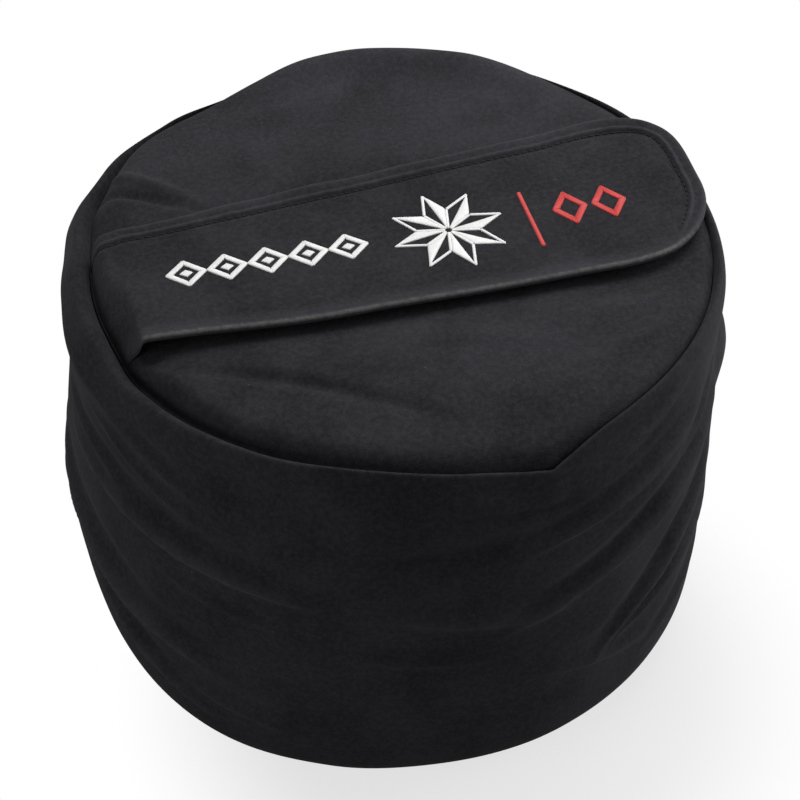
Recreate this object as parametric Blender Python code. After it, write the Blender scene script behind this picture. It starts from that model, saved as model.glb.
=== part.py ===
"""Round strength-training sandbag: a sewn canvas drum with a flap over its filling zip.

Metres, +Z up. The origin is the middle of the base on the ground. +X runs along the
flap, from its sewn end to its free rounded tip, and the front of the bag is at -Y.
"""

import math

import bmesh
import bpy
import numpy as np
from mathutils import Matrix

# Clearance that pieces keep to each other, and how far a cutter runs past what it cuts
GAP = 0.0003
OVERRUN = 0.001

# Cloth, tape and inner bag thicknesses
CANVAS = 0.0012
TAPE = 0.0005
LINER = 0.0004

# Filled bag
BAG_RADIUS = 0.150
WALL_TAPER = 0.002
BASE_TURN = 0.029
BASE_ROUNDING = 0.028
BASE_LAP = 0.010
RIM_WIDTH = 0.013
SEAM_SHIFT = 0.005
SEAM_HEIGHT = 0.1965
SEAM_ALLOWANCE = 0.007
ROLL_RISE = 0.0045
ROLL_DROP = 0.008
CROWN = 0.006
LEVEL_SHARE = 0.8

# The top seam rises at the back, where the rim is drawn in and flatter, and dips to one
# sharp corner at the front
BACK_RISE = 0.007
BACK_DRAW = 0.004
BACK_FLATTENING = 0.002
BACK_ANGLE = math.radians(72)
BACK_SPREAD = math.radians(65)
CORNER_DIP = 0.0145
CORNER_ANGLE = math.radians(-78)
CORNER_SPREAD = math.radians(10)

# Sand and the inner bag that holds it; the headroom over them takes the gathered spout
HEADROOM = 0.0185
FILL_SHOULDER = 0.030
FILL_SHOULDER_WIDTH = 0.0235
FILL_LEVEL_SHARE = 0.6
FILL_EDGE_SHARE = 0.95
NECK_RADIUS = 0.030

# Zip
ZIP_Y = -0.008
ZIP_END_MARGIN = 0.010
SLOT_WIDTH = 0.013
TAPE_WIDTH = 0.014
TOOTH_PITCH = 0.004
TOOTH_DEPTH = 0.0018
TOOTH_SHARE = 0.45
SPINE_WIDTH = 0.0008
TEETH_THICKNESS = 0.0024
TEETH_PARTING = 0.0016

# Hook and loop
STRIP_WIDTH = 0.022
STRIP_CLEAR = 0.0055
LOOP_PILE = 0.0018
HOOK_PILE = 0.0016

# Flap
FLAP_PLY = 0.0010
FLAP_Y = -0.0095
FLAP_HALF_WIDTH = 0.0425
FLAP_FLARE = 0.017
FLAP_ROOT_LENGTH = 0.022
FLAP_TIP_LENGTH = 0.047
FLAP_TIP_POWER = 2.4

# Turns and steps of the round pieces
HALF_STATIONS = 24
ZIP_END_STATIONS = 4
ROUNDING_STEPS = 6
SIDE_STEPS = 4
ROLL_STEPS = 7
TIP_STEPS = 19

BASE_RADIUS = BAG_RADIUS - BASE_TURN
SEAM_RADIUS = BAG_RADIUS - RIM_WIDTH
WALL_FOOT = CANVAS + GAP
LINER_INSET = CANVAS + GAP + TAPE + GAP
SAND_INSET = LINER_INSET + LINER + GAP

# Heights of the layers at the middle of the top, from the panels up
PANEL_TOP = SEAM_HEIGHT + CROWN
LOOP_BOTTOM = PANEL_TOP + GAP
HOOK_BOTTOM = LOOP_BOTTOM + LOOP_PILE + GAP
BACKING_BOTTOM = HOOK_BOTTOM + HOOK_PILE + GAP
FACE_BOTTOM = BACKING_BOTTOM + FLAP_PLY + GAP
FLAP_TOP = FACE_BOTTOM + FLAP_PLY
ZIP_HEIGHT = PANEL_TOP - CANVAS - GAP - TAPE / 2
FILL_HEIGHT = PANEL_TOP - HEADROOM

ZIP_HALF_LENGTH = LEVEL_SHARE * SEAM_RADIUS - ZIP_END_MARGIN
TOOTH_COUNT = int(2 * (ZIP_HALF_LENGTH - TOOTH_PITCH) / TOOTH_PITCH)
ROW_HALF_LENGTH = TOOTH_COUNT * TOOTH_PITCH / 2
HINGE_X = SEAM_SHIFT - SEAM_RADIUS + FLAP_ROOT_LENGTH
HINGE_Z = FLAP_TOP + GAP
TIP_X = SEAM_SHIFT + SEAM_RADIUS

BLACK_CANVAS = (0.030, 0.030, 0.033)
BLACK_TAPE = (0.022, 0.022, 0.024)
GREY_LINER = (0.32, 0.32, 0.30)
SAND_TAN = (0.55, 0.43, 0.27)
BLACK_NYLON = (0.040, 0.040, 0.043)
GUNMETAL = (0.16, 0.16, 0.17)

SHARP_ANGLE = math.radians(40)


def clear_scene():
    """Takes out whatever the scene opened with."""
    for old in list(bpy.data.objects):
        bpy.data.objects.remove(old, do_unlink=True)


def material(name, colour, roughness, metallic):
    """A plain finish of one colour."""
    made = bpy.data.materials.new(name)
    made.use_nodes = True
    shader = made.node_tree.nodes["Principled BSDF"]
    shader.inputs["Base Color"].default_value = (*colour, 1.0)
    shader.inputs["Roughness"].default_value = roughness
    shader.inputs["Metallic"].default_value = metallic
    return made


def add_object(name, mesh, colour, roughness=0.9, metallic=0.0, parent=None):
    """Puts a mesh in the scene with a finish of its own."""
    made = bpy.data.objects.new(name, mesh)
    bpy.context.scene.collection.objects.link(made)
    mesh.materials.append(material(name + "_finish", colour, roughness, metallic))
    made.parent = parent
    return made


def empty_at(name, place, parent=None):
    """The axis that a moving piece hangs from."""
    made = bpy.data.objects.new(name, None)
    bpy.context.scene.collection.objects.link(made)
    made.empty_display_size = SLOT_WIDTH
    made.location = place
    made.parent = parent
    return made


def mesh_of_grid(name, points, wrap=False, flip=False):
    """A sheet of quads over points[row, column]; equal corners become one vertex."""
    rows, columns = points.shape[:2]
    index = np.arange(rows * columns).reshape(rows, columns)
    if wrap:
        index = np.concatenate([index, index[:, :1]], axis=1)
    corners = [index[:-1, :-1], index[:-1, 1:], index[1:, 1:], index[1:, :-1]]
    if flip:
        corners.reverse()
    quads = np.stack(corners, axis=-1).reshape(-1, 4)
    mesh = bpy.data.meshes.new(name)
    mesh.from_pydata(points.reshape(-1, 3).tolist(), [], quads.tolist())
    shaped = bmesh.new()
    shaped.from_mesh(mesh)
    bmesh.ops.remove_doubles(shaped, verts=shaped.verts, dist=GAP / 100)
    shaped.to_mesh(mesh)
    shaped.free()
    mesh.shade_smooth()
    mesh.set_sharp_from_angle(angle=SHARP_ANGLE)
    return mesh


def add_sheet(name, mesh, thickness, colour, side=-1):
    """A sheet given its thickness behind its face, or in front of it where side is 1."""
    sheet = add_object(name, mesh, colour)
    solid = sheet.modifiers.new("Thickness", "SOLIDIFY")
    solid.thickness = thickness
    solid.offset = side
    solid.use_even_offset = True
    solid.use_quality_normals = True


def mesh_of_outline(name, outline, low, high):
    """A flat outline, counter-clockwise from above, extruded from low to high."""
    shaped = bmesh.new()
    corners = [shaped.verts.new((x, y, low)) for x, y in outline]
    face = shaped.faces.new(corners)
    raised = bmesh.ops.extrude_face_region(shaped, geom=[face])
    top = [v for v in raised["geom"] if isinstance(v, bmesh.types.BMVert)]
    bmesh.ops.translate(shaped, verts=top, vec=(0, 0, high - low))
    bmesh.ops.recalc_face_normals(shaped, faces=shaped.faces)
    mesh = bpy.data.meshes.new(name)
    shaped.to_mesh(mesh)
    shaped.free()
    return mesh


def mesh_of_block(name, low, high):
    """An upright block between two corners."""
    outline = [(low[0], low[1]), (high[0], low[1]), (high[0], high[1]), (low[0], high[1])]
    return mesh_of_outline(name, outline, low[2], high[2])


def boolean(target, other, operation):
    """Joins other to target, or cuts it away; other stays as a hidden wire guide."""
    other.hide_render = True
    other.display_type = "WIRE"
    made = target.modifiers.new(operation.title() + other.name, "BOOLEAN")
    made.operation = operation
    made.object = other
    made.solver = "EXACT"


# Shape of the filled bag, worked out at stations round its axis


def turned(angle):
    """An angle brought between minus and plus half a turn."""
    return (angle + math.pi) % (2 * math.pi) - math.pi


def seam_lift(angle):
    """Height of the top seam over its mean: a cosine-squared rise and an exponential dip."""
    back = np.clip(turned(angle - BACK_ANGLE) / BACK_SPREAD, -1, 1)
    corner = np.abs(turned(angle - CORNER_ANGLE)) / CORNER_SPREAD
    return BACK_RISE * np.cos(back * math.pi / 2) ** 2 - CORNER_DIP * np.exp(-corner)


def seam_distance(angle):
    """Distance from the bag's axis to the top seam, whose ring is shifted along +X."""
    across = SEAM_SHIFT * np.sin(angle)
    return SEAM_SHIFT * np.cos(angle) + np.sqrt(SEAM_RADIUS**2 - across**2)


def edge_weight(share, start, full):
    """Nothing inside start, rising as a square to one at full."""
    return np.clip((share - start) / (full - start), 0, 1) ** 2


def top_height(x, y):
    """Height of the top's face: level in the middle, running down or up to the seam."""
    angle = np.arctan2(y, x)
    share = np.hypot(x, y) / seam_distance(angle)
    seam = SEAM_HEIGHT + seam_lift(angle)
    return PANEL_TOP + (seam - PANEL_TOP) * edge_weight(share, LEVEL_SHARE, 1)


def station_angles():
    """Angles of the shared stations: both ends of the zip line are stations."""
    reach = math.sqrt(SEAM_RADIUS**2 - ZIP_Y**2)
    right = math.atan2(ZIP_Y, SEAM_SHIFT + reach)
    left = math.atan2(ZIP_Y, SEAM_SHIFT - reach)
    front = np.linspace(left, right, HALF_STATIONS + 1)
    rear = np.linspace(right, left + 2 * math.pi, HALF_STATIONS + 1)
    return front, rear


FRONT_ANGLES, REAR_ANGLES = station_angles()
ALL_ANGLES = np.concatenate([FRONT_ANGLES[:-1], REAR_ANGLES[:-1]])


def lower_outline(inset):
    """Radii and heights of a layer inset from the wall's face, up its rounded foot."""
    turn = np.linspace(-math.pi / 2, 0, ROUNDING_STEPS)
    radii = BASE_RADIUS + (BAG_RADIUS - inset - BASE_RADIUS) * np.cos(turn)
    heights = BASE_ROUNDING + (BASE_ROUNDING - WALL_FOOT - inset) * np.sin(turn)
    return radii, heights


def shoulder_radius(angle):
    """Radius of the wall's face just under the rim, drawn in towards the back."""
    return BAG_RADIUS - WALL_TAPER - BACK_DRAW * np.clip(np.sin(angle), 0, 1)


def side_outline(inset, top, angles):
    """Radii and heights from the foot to the height top; the wall draws in as a square."""
    share = np.linspace(0, 1, SIDE_STEPS + 1)[1:, None]
    radii = BAG_RADIUS - inset - (BAG_RADIUS - shoulder_radius(angles)) * share**2
    heights = BASE_ROUNDING + (top - BASE_ROUNDING) * share
    return radii, heights


def ring_points(radii, heights, angles):
    """Points of a turned layer: radii and heights are given for each row and station."""
    radii = np.broadcast_to(radii, (len(radii), len(angles)))
    heights = np.broadcast_to(heights, radii.shape)
    return np.stack([radii * np.cos(angles), radii * np.sin(angles), heights], axis=-1)


def wall_rows():
    """The wall's face from its lap under the bag, up and over the rim, into the seam."""
    angles = ALL_ANGLES
    foot_radii, foot_heights = lower_outline(0)
    seam_radius = seam_distance(angles) + GAP / 2
    seam_height = SEAM_HEIGHT + seam_lift(angles)
    side_radii, side_heights = side_outline(0, seam_height - ROLL_DROP, angles)
    turn = np.linspace(0, math.pi, ROLL_STEPS)[1:, None]
    shoulder = shoulder_radius(angles)
    middle = (shoulder + seam_radius) / 2
    roll_radii = middle + (shoulder - middle) * np.cos(turn)
    climb = (1 - np.cos(turn)) / 2
    rise = ROLL_RISE - BACK_FLATTENING * np.clip(np.sin(angles), 0, 1) + ROLL_DROP / 2
    roll_heights = seam_height - ROLL_DROP * (1 - climb) + rise * np.sin(turn)
    wide = np.zeros_like(angles)
    radii = [np.array([BASE_RADIUS - BASE_LAP])[:, None] + wide, foot_radii[:, None] + wide]
    radii += [side_radii, roll_radii, seam_radius[None]]
    heights = [np.array([WALL_FOOT])[:, None] + wide, foot_heights[:, None] + wide]
    heights += [side_heights, roll_heights, (seam_height - SEAM_ALLOWANCE)[None]]
    return np.concatenate(radii), np.concatenate(heights)


def inner_rows(inset, top):
    """A layer round the sand: foot, side and a rounded shoulder up to the level top."""
    angles = ALL_ANGLES
    lift = seam_lift(angles)
    foot_radii, foot_heights = lower_outline(inset)
    side_radii, side_heights = side_outline(inset, top - FILL_SHOULDER + lift, angles)
    turn = np.linspace(0, math.pi / 2, ROUNDING_STEPS)[1:, None]
    outer = shoulder_radius(angles) - inset
    round_radii = outer - FILL_SHOULDER_WIDTH * (1 - np.cos(turn))
    share = round_radii / seam_distance(angles)
    weight = edge_weight(share, FILL_LEVEL_SHARE, FILL_EDGE_SHARE)
    round_heights = top - FILL_SHOULDER * (1 - np.sin(turn)) + lift * weight
    level = FILL_LEVEL_SHARE * seam_distance(angles)[None]
    wide = np.zeros_like(angles)
    radii = [foot_radii[:, None] + wide, side_radii, round_radii, level]
    heights = [foot_heights[:, None] + wide, side_heights, round_heights, top + 0 * level]
    return np.concatenate(radii), np.concatenate(heights)


# Side panel: one length of canvas round the bag


def make_side_panel():
    radii, heights = wall_rows()
    points = ring_points(radii, heights, ALL_ANGLES)
    mesh = mesh_of_grid("side_panel", points, wrap=True)
    add_sheet("side_panel", mesh, CANVAS, BLACK_CANVAS)


# Base panel: a round of canvas that the wall laps over


def make_base_panel():
    outline = BASE_RADIUS * np.stack([np.cos(ALL_ANGLES), np.sin(ALL_ANGLES)], axis=-1)
    mesh = mesh_of_outline("base_panel", outline.tolist(), 0, CANVAS)
    add_object("base_panel", mesh, BLACK_CANVAS)


# Top panels: two halves of canvas, turned down into the seam and notched for the zip


def make_top_panel(name, angles, side):
    """side is -1 for the front half and 1 for the rear one."""
    reach = math.sqrt(SEAM_RADIUS**2 - ZIP_Y**2)
    outer = np.linspace(reach, ZIP_HALF_LENGTH, ZIP_END_STATIONS + 1)
    inner = np.linspace(ZIP_HALF_LENGTH, -ZIP_HALF_LENGTH, HALF_STATIONS - 2 * ZIP_END_STATIONS + 1)
    edge_x = np.concatenate([outer[:-1], inner, -outer[:-1][::-1]])
    if side < 0:
        edge_x = edge_x[::-1]
    half = np.where(np.abs(edge_x) <= ZIP_HALF_LENGTH + GAP, SLOT_WIDTH / 2, GAP / 2)
    edge = np.stack([SEAM_SHIFT + edge_x, ZIP_Y + side * half], axis=-1)
    rim_radius = seam_distance(angles) - GAP / 2
    rim = np.stack([rim_radius * np.cos(angles), rim_radius * np.sin(angles)], axis=-1)
    edge[[0, -1]] = rim[[0, -1]] + np.array([0, side * GAP / 2])
    rim[[0, -1]] = edge[[0, -1]]
    row_shares = np.array([0, 0.3, 0.55, 0.72, 0.86, 1])[:, None, None]
    flat = edge + (rim - edge) * row_shares
    heights = top_height(flat[..., 0], flat[..., 1])
    rows = np.concatenate([flat, heights[..., None]], axis=-1)
    turned_down = rows[-1:] - np.array([0, 0, SEAM_ALLOWANCE])
    points = np.concatenate([rows, turned_down])
    add_sheet(name, mesh_of_grid(name, points, flip=True), CANVAS, BLACK_CANVAS)


# Seam bindings and the tape inside the wall's upright seam


def make_top_seam_binding():
    """A tape folded up round the lower edges of both seam allowances."""
    seam_radius = seam_distance(ALL_ANGLES)
    bottom = SEAM_HEIGHT + seam_lift(ALL_ANGLES) - SEAM_ALLOWANCE - GAP - TAPE
    reach = GAP / 2 + CANVAS + GAP + TAPE
    leg_share = 0.6
    leg = SEAM_ALLOWANCE * leg_share
    radii = np.stack([seam_radius + side * reach for side in (1, 1, -1, -1)])
    heights = np.stack([bottom + rise for rise in (leg, 0, 0, leg)])
    points = ring_points(radii, heights, ALL_ANGLES)
    mesh = mesh_of_grid("top_seam_binding", points, wrap=True, flip=True)
    add_sheet("top_seam_binding", mesh, TAPE, BLACK_TAPE)


def make_base_seam_binding():
    """A flat ring of tape over the wall's lapped edge inside the base."""
    edge = BASE_RADIUS - BASE_LAP
    height = WALL_FOOT + CANVAS + GAP
    radii = np.array([[edge - BASE_LAP / 2], [edge + BASE_LAP / 2]])
    points = ring_points(radii, np.full((2, 1), height), ALL_ANGLES)
    mesh = mesh_of_grid("base_seam_binding", points, wrap=True)
    add_sheet("base_seam_binding", mesh, TAPE, BLACK_TAPE)


def make_side_seam_tape():
    """A strip inside one face of the wall, at the back."""
    middle = len(REAR_ANGLES) // 2
    span = REAR_ANGLES[middle : middle + 2]
    top = np.full(2, SEAM_HEIGHT - 2 * ROLL_DROP)
    radii, heights = side_outline(CANVAS + GAP, top, span)
    ends = ring_points(radii, heights, span)
    width_shares = np.array([0.15, 0.85])[None, :, None]
    points = ends[:, :1] + (ends[:, 1:] - ends[:, :1]) * width_shares
    add_sheet("side_seam_tape", mesh_of_grid("side_seam_tape", points), TAPE, BLACK_TAPE)


# Zip: two tapes under the panels, two rows of moulded teeth, their stops and end tabs


def tooth_outline(side):
    """A comb from above: a spine along the tape, with teeth towards the middle."""
    parting = TEETH_PARTING / 2
    spine_near = parting + TOOTH_DEPTH
    spine_far = spine_near + SPINE_WIDTH
    start = -ROW_HALF_LENGTH
    end = ROW_HALF_LENGTH
    tooth = TOOTH_PITCH * TOOTH_SHARE
    taper_share = 0.2
    taper = tooth * taper_share
    points = []
    for number in range(TOOTH_COUNT):
        left = start + number * TOOTH_PITCH + (TOOTH_PITCH - tooth) / 2
        points += [(left, spine_near), (left + taper, parting)]
        points += [(left + tooth - taper, parting), (left + tooth, spine_near)]
    points = [(start, spine_near)] + points + [(end, spine_near), (end, spine_far), (start, spine_far)]
    placed = [(SEAM_SHIFT + x, ZIP_Y + side * y) for x, y in points]
    return placed if side > 0 else placed[::-1]


def make_zip_rows():
    """A row of teeth and the tape that carries it, on each side of the middle."""
    tape_near = TEETH_PARTING / 2 + TOOTH_DEPTH + SPINE_WIDTH + GAP
    for name, side in (("front", -1), ("rear", 1)):
        low = ZIP_HEIGHT - TEETH_THICKNESS / 2
        teeth = mesh_of_outline("zip_teeth_" + name, tooth_outline(side), low, low + TEETH_THICKNESS)
        add_object("zip_teeth_" + name, teeth, BLACK_NYLON, roughness=0.45)
        sides = sorted([ZIP_Y + side * tape_near, ZIP_Y + side * (tape_near + TAPE_WIDTH)])
        ends = SEAM_SHIFT + np.array([-1, 1]) * ZIP_HALF_LENGTH
        corner_low = (ends[0], sides[0], ZIP_HEIGHT - TAPE / 2)
        corner_high = (ends[1], sides[1], ZIP_HEIGHT + TAPE / 2)
        tape = mesh_of_block("zip_tape_" + name, corner_low, corner_high)
        add_object("zip_tape_" + name, tape, BLACK_TAPE)


def draped(xs, ys, rise):
    """Points over the top at xs and ys, raised a little from the panels' face."""
    y, x = np.meshgrid(ys, xs, indexing="ij")
    return np.stack([x, y, top_height(x, y) + rise], axis=-1)


def make_zip_ends():
    """A moulded stop past the last tooth and a canvas tab over the tape, at both ends."""
    half_width = TEETH_PARTING / 2 + TOOTH_DEPTH
    tab_half_width = (SLOT_WIDTH + STRIP_CLEAR) / 2
    tab_width_shares = np.array([-1, -0.5, 0.5, 1])
    tab_ends = (ZIP_HALF_LENGTH, ZIP_HALF_LENGTH + SLOT_WIDTH)
    for stop_name, tab_name, side in (
        ("zip_stop_closed", "zip_end_tab_left", -1),
        ("zip_stop_open", "zip_end_tab_right", 1),
    ):
        ends = sorted(SEAM_SHIFT + side * (ROW_HALF_LENGTH + past) for past in (GAP, TOOTH_PITCH - GAP))
        low = ZIP_HEIGHT - TEETH_THICKNESS / 2
        corner_low = (ends[0], ZIP_Y - half_width, low)
        corner_high = (ends[1], ZIP_Y + half_width, low + TEETH_THICKNESS)
        stop = mesh_of_block(stop_name, corner_low, corner_high)
        add_object(stop_name, stop, BLACK_NYLON, roughness=0.45)
        xs = np.sort(SEAM_SHIFT + side * np.linspace(*tab_ends, 4))
        ys = ZIP_Y + tab_half_width * tab_width_shares
        tab = mesh_of_grid(tab_name, draped(xs, ys, GAP))
        add_sheet(tab_name, tab, TAPE, BLACK_TAPE, side=1)


# Hook and loop: two strips on the panels and two under the flap, on either side of the zip


TO_HINGE = Matrix.Translation((-HINGE_X, -FLAP_Y, -HINGE_Z))


def strip_block(name, side, low, high):
    """A strip beside the zip, as long as the zip; side is -1 in front and 1 behind."""
    near = SLOT_WIDTH / 2 + STRIP_CLEAR
    sides = sorted(ZIP_Y + side * offset for offset in (near, near + STRIP_WIDTH))
    corner_low = (SEAM_SHIFT - ZIP_HALF_LENGTH, sides[0], low)
    corner_high = (SEAM_SHIFT + ZIP_HALF_LENGTH, sides[1], high)
    return mesh_of_block(name, corner_low, corner_high)


def make_hook_and_loop():
    """Loop strips lie still on the panels; hook strips swing with the flap."""
    for name, side in (("front", -1), ("rear", 1)):
        loop_name = "loop_strip_" + name
        loop = strip_block(loop_name, side, LOOP_BOTTOM, LOOP_BOTTOM + LOOP_PILE)
        add_object(loop_name, loop, BLACK_NYLON)
        hook_name = "hook_strip_" + name
        hook = strip_block(hook_name, side, HOOK_BOTTOM, HOOK_BOTTOM + HOOK_PILE)
        hook.transform(TO_HINGE)
        add_object(hook_name, hook, BLACK_NYLON, roughness=0.7, parent=flap_axis)


# Flap: a fixed root sewn into the seam, and two plies that swing from it


def flap_outline():
    """Straight sides that flare at the back, closed by a superellipse at the tip."""
    start_x = TIP_X - FLAP_TIP_LENGTH
    near = FLAP_Y - FLAP_HALF_WIDTH
    far_root = FLAP_Y + FLAP_HALF_WIDTH
    far_tip = far_root + FLAP_FLARE
    middle = (near + far_tip) / 2
    half = (far_tip - near) / 2
    turn = np.linspace(-math.pi / 2, math.pi / 2, TIP_STEPS)
    bend = 2 / FLAP_TIP_POWER
    xs = start_x + FLAP_TIP_LENGTH * np.abs(np.cos(turn)) ** bend
    ys = middle + half * np.sign(np.sin(turn)) * np.abs(np.sin(turn)) ** bend
    root = HINGE_X + GAP
    return [(root, near)] + list(zip(xs.tolist(), ys.tolist())) + [(root, far_root)]


def make_flap():
    """Two plies of canvas, one over the other."""
    for name, low in (("flap_backing", BACKING_BOTTOM), ("flap_face", FACE_BOTTOM)):
        mesh = mesh_of_outline(name, flap_outline(), low, low + FLAP_PLY)
        mesh.transform(TO_HINGE)
        add_object(name, mesh, BLACK_CANVAS, parent=flap_axis)


def make_flap_root():
    """Both plies from the seam, up the edge of the top, to the line where the flap bends."""
    y = np.linspace(FLAP_Y - FLAP_HALF_WIDTH, FLAP_Y + FLAP_HALF_WIDTH, 9)
    seam_x = SEAM_SHIFT - np.sqrt(SEAM_RADIUS**2 - y**2) + 2 * GAP
    seam_z = top_height(seam_x, y) + 2 * GAP + 2 * FLAP_PLY
    share = np.linspace(0, 1, 4)[:, None]
    x = seam_x + (HINGE_X - GAP - seam_x) * share
    z = seam_z + (FLAP_TOP - seam_z) * np.sin(share * math.pi / 2)
    points = np.stack([x, np.broadcast_to(y, x.shape), z], axis=-1)
    mesh = mesh_of_grid("flap_root", points, flip=True)
    add_sheet("flap_root", mesh, 2 * FLAP_PLY, BLACK_CANVAS)


# Zip slider and its pull tab

SLIDER_LENGTH = 0.014
SLIDER_WIDTH = 0.011
SLIDER_CORNER = 0.00275
SLIDER_PLATE = 0.0009
SLIDER_WEB = 0.0010
SLIDER_WEB_LENGTH = 0.0047
ARCH_LENGTH = 0.0072
ARCH_WIDTH = 0.0016
ARCH_BAR = 0.0008
PULL_THICKNESS = 0.0012
PULL_BAR = 0.0010
PULL_LENGTH = 0.024
PULL_WIDTH = 0.0066
PULL_CORNER = 0.0016
PULL_SIDE = 0.0018
PULL_LIFT = 0.0004
GRIP_LENGTH = 0.008
GRIP_CORNER = 0.0009
GRIP_MARGIN = 0.001

PLATE_RISE = TEETH_THICKNESS / 2 + GAP
PULL_SWEEP = math.hypot(PULL_THICKNESS, PULL_BAR) / 2 + GAP / 2
PULL_RISE = PLATE_RISE + SLIDER_PLATE + PULL_SWEEP + PULL_LIFT
ARCH_RISE = PULL_RISE + PULL_SWEEP
SLIDER_X = SEAM_SHIFT - ROW_HALF_LENGTH + SLIDER_LENGTH / 2


def rounded_rectangle(length, width, corner):
    """Outline of a rectangle about the origin, with three points at each corner."""
    points = []
    for quarter in range(4):
        sign_x = (1, -1, -1, 1)[quarter]
        sign_y = (1, 1, -1, -1)[quarter]
        for step in range(3):
            turn = (quarter + step / 2) * math.pi / 2
            x = sign_x * (length / 2 - corner) + corner * math.cos(turn)
            y = sign_y * (width / 2 - corner) + corner * math.sin(turn)
            points.append((x, y))
    return points


def make_slider():
    """Two plates above and below the teeth, a web between the rows, and an arch on top."""
    outline = rounded_rectangle(SLIDER_LENGTH, SLIDER_WIDTH, SLIDER_CORNER)
    upper = mesh_of_outline("zip_slider", outline, PLATE_RISE, PLATE_RISE + SLIDER_PLATE)
    slider = add_object("zip_slider", upper, GUNMETAL, 0.35, 1.0, parent=slider_axis)
    lower = mesh_of_outline("lower_plate", outline, -PLATE_RISE - SLIDER_PLATE, -PLATE_RISE)
    web_high = PLATE_RISE + SLIDER_PLATE / 2
    web_low = (-SLIDER_LENGTH / 2 + OVERRUN, -SLIDER_WEB / 2, -web_high)
    web_end = (web_low[0] + SLIDER_WEB_LENGTH, SLIDER_WEB / 2, web_high)
    web = mesh_of_block("web", web_low, web_end)
    half = ARCH_LENGTH / 2
    arch_top = ARCH_RISE + ARCH_BAR
    arch_low = (-half, -ARCH_WIDTH / 2, PLATE_RISE + SLIDER_PLATE / 2)
    arch = mesh_of_block("arch", arch_low, (half, ARCH_WIDTH / 2, arch_top))
    hollow_low = (-half + ARCH_BAR, -ARCH_WIDTH, PLATE_RISE + SLIDER_PLATE)
    hollow = mesh_of_block("arch_hollow", hollow_low, (half - ARCH_BAR, ARCH_WIDTH, ARCH_RISE))
    for name, mesh, operation in (
        ("web", web, "UNION"),
        ("lower_plate", lower, "UNION"),
        ("arch", arch, "UNION"),
        ("arch_hollow", hollow, "DIFFERENCE"),
    ):
        boolean(slider, add_object(name, mesh, GUNMETAL, parent=slider_axis), operation)


def make_pull_tab():
    """A flat tab whose end bar passes under the slider's arch; the bar is its axis."""
    middle = (PULL_LENGTH - PULL_BAR) / 2
    outline = rounded_rectangle(PULL_LENGTH, PULL_WIDTH, PULL_CORNER)
    outline = [(x + middle, y) for x, y in outline]
    half = PULL_THICKNESS / 2
    body = mesh_of_outline("zip_pull_tab", outline, -half, half)
    pull = add_object("zip_pull_tab", body, GUNMETAL, 0.35, 1.0, parent=pull_axis)
    window_width = PULL_WIDTH / 2 - PULL_SIDE
    window_low = (PULL_BAR / 2, -window_width, -half - OVERRUN)
    window_high = (ARCH_LENGTH / 2 + ARCH_BAR + PULL_BAR, window_width, half + OVERRUN)
    window = mesh_of_block("pull_window", window_low, window_high)
    grip_middle = PULL_LENGTH - PULL_BAR / 2 - PULL_BAR - GRIP_MARGIN - GRIP_LENGTH / 2
    grip = rounded_rectangle(GRIP_LENGTH, 2 * window_width, GRIP_CORNER)
    grip = [(x + grip_middle, y) for x, y in grip]
    hole = mesh_of_outline("grip_hole", grip, -half - OVERRUN, half + OVERRUN)
    for name, mesh in (("pull_window", window), ("grip_hole", hole)):
        boolean(pull, add_object(name, mesh, GUNMETAL, parent=pull_axis), "DIFFERENCE")


# Inner bag and its sand

SPOUT_TAIL = 0.058
SPOUT_NECK = 0.003
SPOUT_FAN = 0.014
SPOUT_RISE = 0.0062
TIE_THICKNESS = 0.0009
TIE_PLACE_SHARE = 0.5


def closed_rings(name, rings):
    """Rings of points joined in a row, with a flat cap on the first and the last."""
    steps = rings.shape[1]
    shaped = bmesh.new()
    made = [[shaped.verts.new(point) for point in ring.tolist()] for ring in rings]
    for lower, upper in zip(made, made[1:]):
        for a in range(steps):
            b = (a + 1) % steps
            shaped.faces.new((lower[a], lower[b], upper[b], upper[a]))
    shaped.faces.new(made[0][::-1])
    shaped.faces.new(made[-1])
    bmesh.ops.recalc_face_normals(shaped, faces=shaped.faces)
    mesh = bpy.data.meshes.new(name)
    shaped.to_mesh(mesh)
    shaped.free()
    return mesh


def make_liner():
    """The inner bag's wall and shoulder, with a neck in the middle, and its round base."""
    radii, heights = inner_rows(LINER_INSET, FILL_HEIGHT)
    radii = np.concatenate([radii, np.full((1, len(ALL_ANGLES)), NECK_RADIUS)])
    heights = np.concatenate([heights, heights[-1:]])
    points = ring_points(radii, heights, ALL_ANGLES)
    add_sheet("liner_body", mesh_of_grid("liner_body", points, wrap=True), LINER, GREY_LINER)
    base_radius = BASE_RADIUS - GAP
    outline = base_radius * np.stack([np.cos(ALL_ANGLES), np.sin(ALL_ANGLES)], axis=-1)
    low = WALL_FOOT + LINER_INSET
    mesh = mesh_of_outline("liner_base", outline.tolist(), low, low + LINER)
    add_object("liner_base", mesh, GREY_LINER)


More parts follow.
